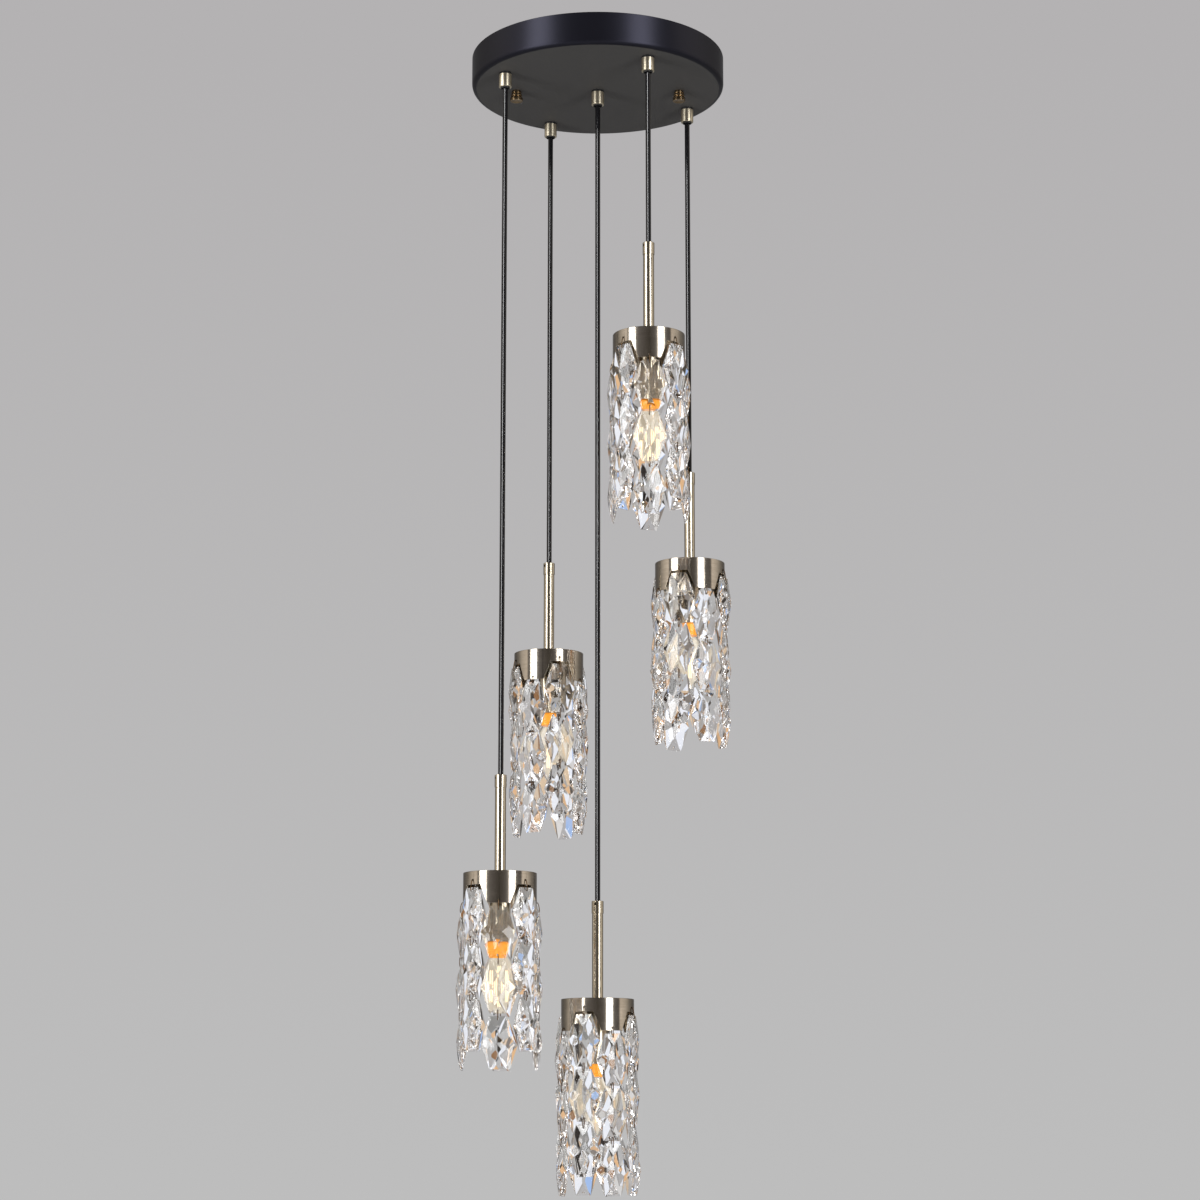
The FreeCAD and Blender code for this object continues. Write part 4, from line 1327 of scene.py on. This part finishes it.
# %% World
WALL_TOP = "#b4b2b3"
WALL_FOOT = "#bebebe"
WALL_SPAN = (-0.05, 0.37)
WORLD_LIGHT = 0.35
ROOM_COLOURS = [
    (0.0, "#524e4a"), (0.2, "#787576"), (0.36, "#6b6868"), (0.4, "#5a5654"),
    (0.42, "#faf0e6"), (0.55, "#d6cec5"), (0.66, "#8e8983"), (0.8, "#625f5d"), (1.0, "#8c8c8e"),
]
CARDS_PER_RADIAN = 12
CARD_LIGHT = 1
CARD_COLOURS = [
    (0.0, "#aeaba9"), (0.34, "#f3f6ff"), (0.39, "#e0c6a8"), (0.51, "#94693f"), (0.62, "#857d77"),
    (0.72, "#241d19"), (0.87, "#a5c3f2"), (0.91, "#e8bb8c"), (0.96, "#dcdad9"),
]
CLEAR_VIEW = 0.12
WHITE_CARD = (0.33, 0.24)


def set_stops(ramp, colours, interpolation):
    """Give a colour ramp its places and colours."""
    ramp.color_ramp.interpolation = interpolation
    stops = ramp.color_ramp.elements
    while len(stops) < len(colours):
        stops.new(1)
    for stop, (place, colour) in zip(stops, colours):
        stop.position = place
        stop.color = linear(colour)


def room(tree, parts, sideways):
    """The studio as metal mirrors it, by how far round from the camera."""
    forwards = add(tree, "ShaderNodeMath", {0: parts.outputs["Y"], 1: -1}, operation="MULTIPLY")
    angle = add(tree, "ShaderNodeMath", {0: sideways, 1: forwards}, operation="ARCTAN2")
    turn = add(tree, "ShaderNodeMath", {0: angle, 1: math.pi}, operation="DIVIDE")
    seen = add(tree, "ShaderNodeValToRGB", {0: turn})
    set_stops(seen, ROOM_COLOURS, "LINEAR")
    return seen


def cards(tree, way, parts, sideways, wall):
    """The studio as the crystals see it: cards of random tone, and the wall between two white ones."""
    cells = add(tree, "ShaderNodeTexVoronoi", {"Vector": way, "Scale": CARDS_PER_RADIAN})
    tone = add(tree, "ShaderNodeSeparateColor", {0: cells.outputs["Color"]})
    hung = add(tree, "ShaderNodeValToRGB", {0: tone})
    set_stops(hung, CARD_COLOURS, "CONSTANT")
    ahead = add(tree, "ShaderNodeMath", {0: parts.outputs["Y"], 1: 0}, operation="GREATER_THAN")
    shown = hung
    for limit, colour in zip((*WHITE_CARD, CLEAR_VIEW), (linear("#f4f7ff"), hung, wall)):
        near = add(tree, "ShaderNodeMath", {0: sideways, 1: limit}, operation="LESS_THAN")
        both = add(tree, "ShaderNodeMath", {0: near, 1: ahead}, operation="MULTIPLY")
        shown = add(tree, "ShaderNodeMix", {0: both, 6: shown, 7: colour}, data_type="RGBA")
    return shown


# %% Painting the world
def make_world():
    world = bpy.data.worlds.new("studio")
    world.use_nodes = True
    tree = world.node_tree
    tree.nodes.clear()
    way = add(tree, "ShaderNodeTexCoord").outputs["Generated"]
    parts = add(tree, "ShaderNodeSeparateXYZ", {"Vector": way})
    sideways = add(tree, "ShaderNodeMath", {0: parts.outputs["X"]}, operation="ABSOLUTE")
    height = add(tree, "ShaderNodeMapRange", {
        "Value": parts.outputs["Z"], "From Min": WALL_SPAN[0], "From Max": WALL_SPAN[1],
    })
    wall = add(tree, "ShaderNodeMix", {
        0: height, 6: linear(WALL_FOOT), 7: linear(WALL_TOP),
    }, data_type="RGBA")
    seen = [
        add(tree, "ShaderNodeBackground", {"Color": colour, "Strength": strength})
        for colour, strength in (
            (linear("#ffffff"), WORLD_LIGHT),
            (room(tree, parts, sideways), 1),
            (cards(tree, way, parts, sideways, wall), CARD_LIGHT),
            (wall, 1),
        )
    ]
    ray = add(tree, "ShaderNodeLightPath").outputs
    kinds = (ray["Is Glossy Ray"], ray["Is Transmission Ray"], ray["Is Camera Ray"])
    shown = seen[0]
    for kind, background in zip(kinds, seen[1:]):
        shown = add(tree, "ShaderNodeMixShader", {0: kind, 1: shown, 2: background})
    add(tree, "ShaderNodeOutputWorld", {"Surface": shown})
    scene.world = world


make_world()
print("world:", len(scene.world.node_tree.nodes), "nodes")

# %% Soft boxes
BOX_DISTANCE = 2.8
BOX_HEIGHT = 4
BOX_AIM = 0.9
# Each box: name, azimuth in degrees, width and level in metres, brightness, and how the cords see it.
SOFT_BOXES = (
    ("left_box", -53, 1.0, 0, 7, "EXCLUDE"),
    ("right_box", 38, 0.95, 0, 7, "EXCLUDE"),
    ("cord_strip", -24, 0.7, -0.25, 18, "INCLUDE"),
)


def make_soft_box(name, azimuth, width, level, brightness, state):
    """A tall soft box that faces the object. Azimuth 0 is at the camera and grows to its right.

    The box lights the cords alone, or everything but the cords.
    """
    light = bpy.data.lights.new(name, "AREA")
    light.shape = "RECTANGLE"
    light.size = width
    light.size_y = BOX_HEIGHT
    light.energy = brightness * width * BOX_HEIGHT * math.pi
    made = bpy.data.objects.new(name, light)
    angle = math.radians(azimuth)
    place = Vector((BOX_DISTANCE * math.sin(angle), -BOX_DISTANCE * math.cos(angle), level))
    made.location = place
    aim = Vector((0, 0, level * BOX_AIM)) - place
    made.rotation_euler = aim.to_track_quat("-Z", "Y").to_euler()
    made.visible_camera = False
    scene.collection.objects.link(made)
    cords = bpy.data.collections.new("cords_for_" + name)
    for lamp in LAMPS:
        cords.objects.link(bpy.data.objects[f"hanging_cord_{lamp}"])
    for entry in cords.collection_objects:
        entry.light_linking.link_state = state
    made.light_linking.receiver_collection = cords
    print(f"{name}: {width} by {BOX_HEIGHT} m")


for values in SOFT_BOXES:
    make_soft_box(*values)
bpy.data.objects["left_box"].visible_transmission = False

# %% [markdown]
# A pale floor lies well below the lamps. It can only be seen from above, so that a view from underneath
# isn't blocked.

# %% Floor
FLOOR_LEVEL = -2.2
FLOOR_RADIUS = 5
FLOOR_STEPS = 128
FLOOR_CLOUDS_PER_METRE = 3


def make_floor():
    material = make_finish("pale painted floor", {"Roughness": 0.7}, grains=FLOOR_CLOUDS_PER_METRE,
                           detail=4, colours=("#c3c2c0", "#c9c8c6"))
    tree = material.node_tree
    paint = tree.nodes["Principled BSDF"]
    clear = add(tree, "ShaderNodeBsdfTransparent")
    side = add(tree, "ShaderNodeNewGeometry")
    both = add(tree, "ShaderNodeMixShader", {0: side.outputs["Backfacing"], 1: paint, 2: clear})
    tree.links.new(both.outputs[0], tree.nodes["Material Output"].inputs["Surface"])
    shape = bmesh.new()
    bmesh.ops.create_circle(shape, cap_ends=True, segments=FLOOR_STEPS, radius=FLOOR_RADIUS)
    mesh = bpy.data.meshes.new("floor")
    shape.to_mesh(mesh)
    shape.free()
    mesh.materials.append(material)
    floor = bpy.data.objects.new("floor", mesh)
    floor.location.z = FLOOR_LEVEL
    scene.collection.objects.link(floor)


make_floor()
scene.view_settings.view_transform = "Standard"

# %% [markdown]
# Light passes dozens of facets before it leaves the crystals. A ray that is given up too early turns
# black there, so the longest path is raised far over Blender's usual twelve steps.

# %% Light paths
LONGEST_PATH = 64
scene.cycles.max_bounces = LONGEST_PATH
scene.cycles.transmission_bounces = LONGEST_PATH
scene.cycles.glossy_bounces = LONGEST_PATH
print("longest path of light:", LONGEST_PATH, "steps")
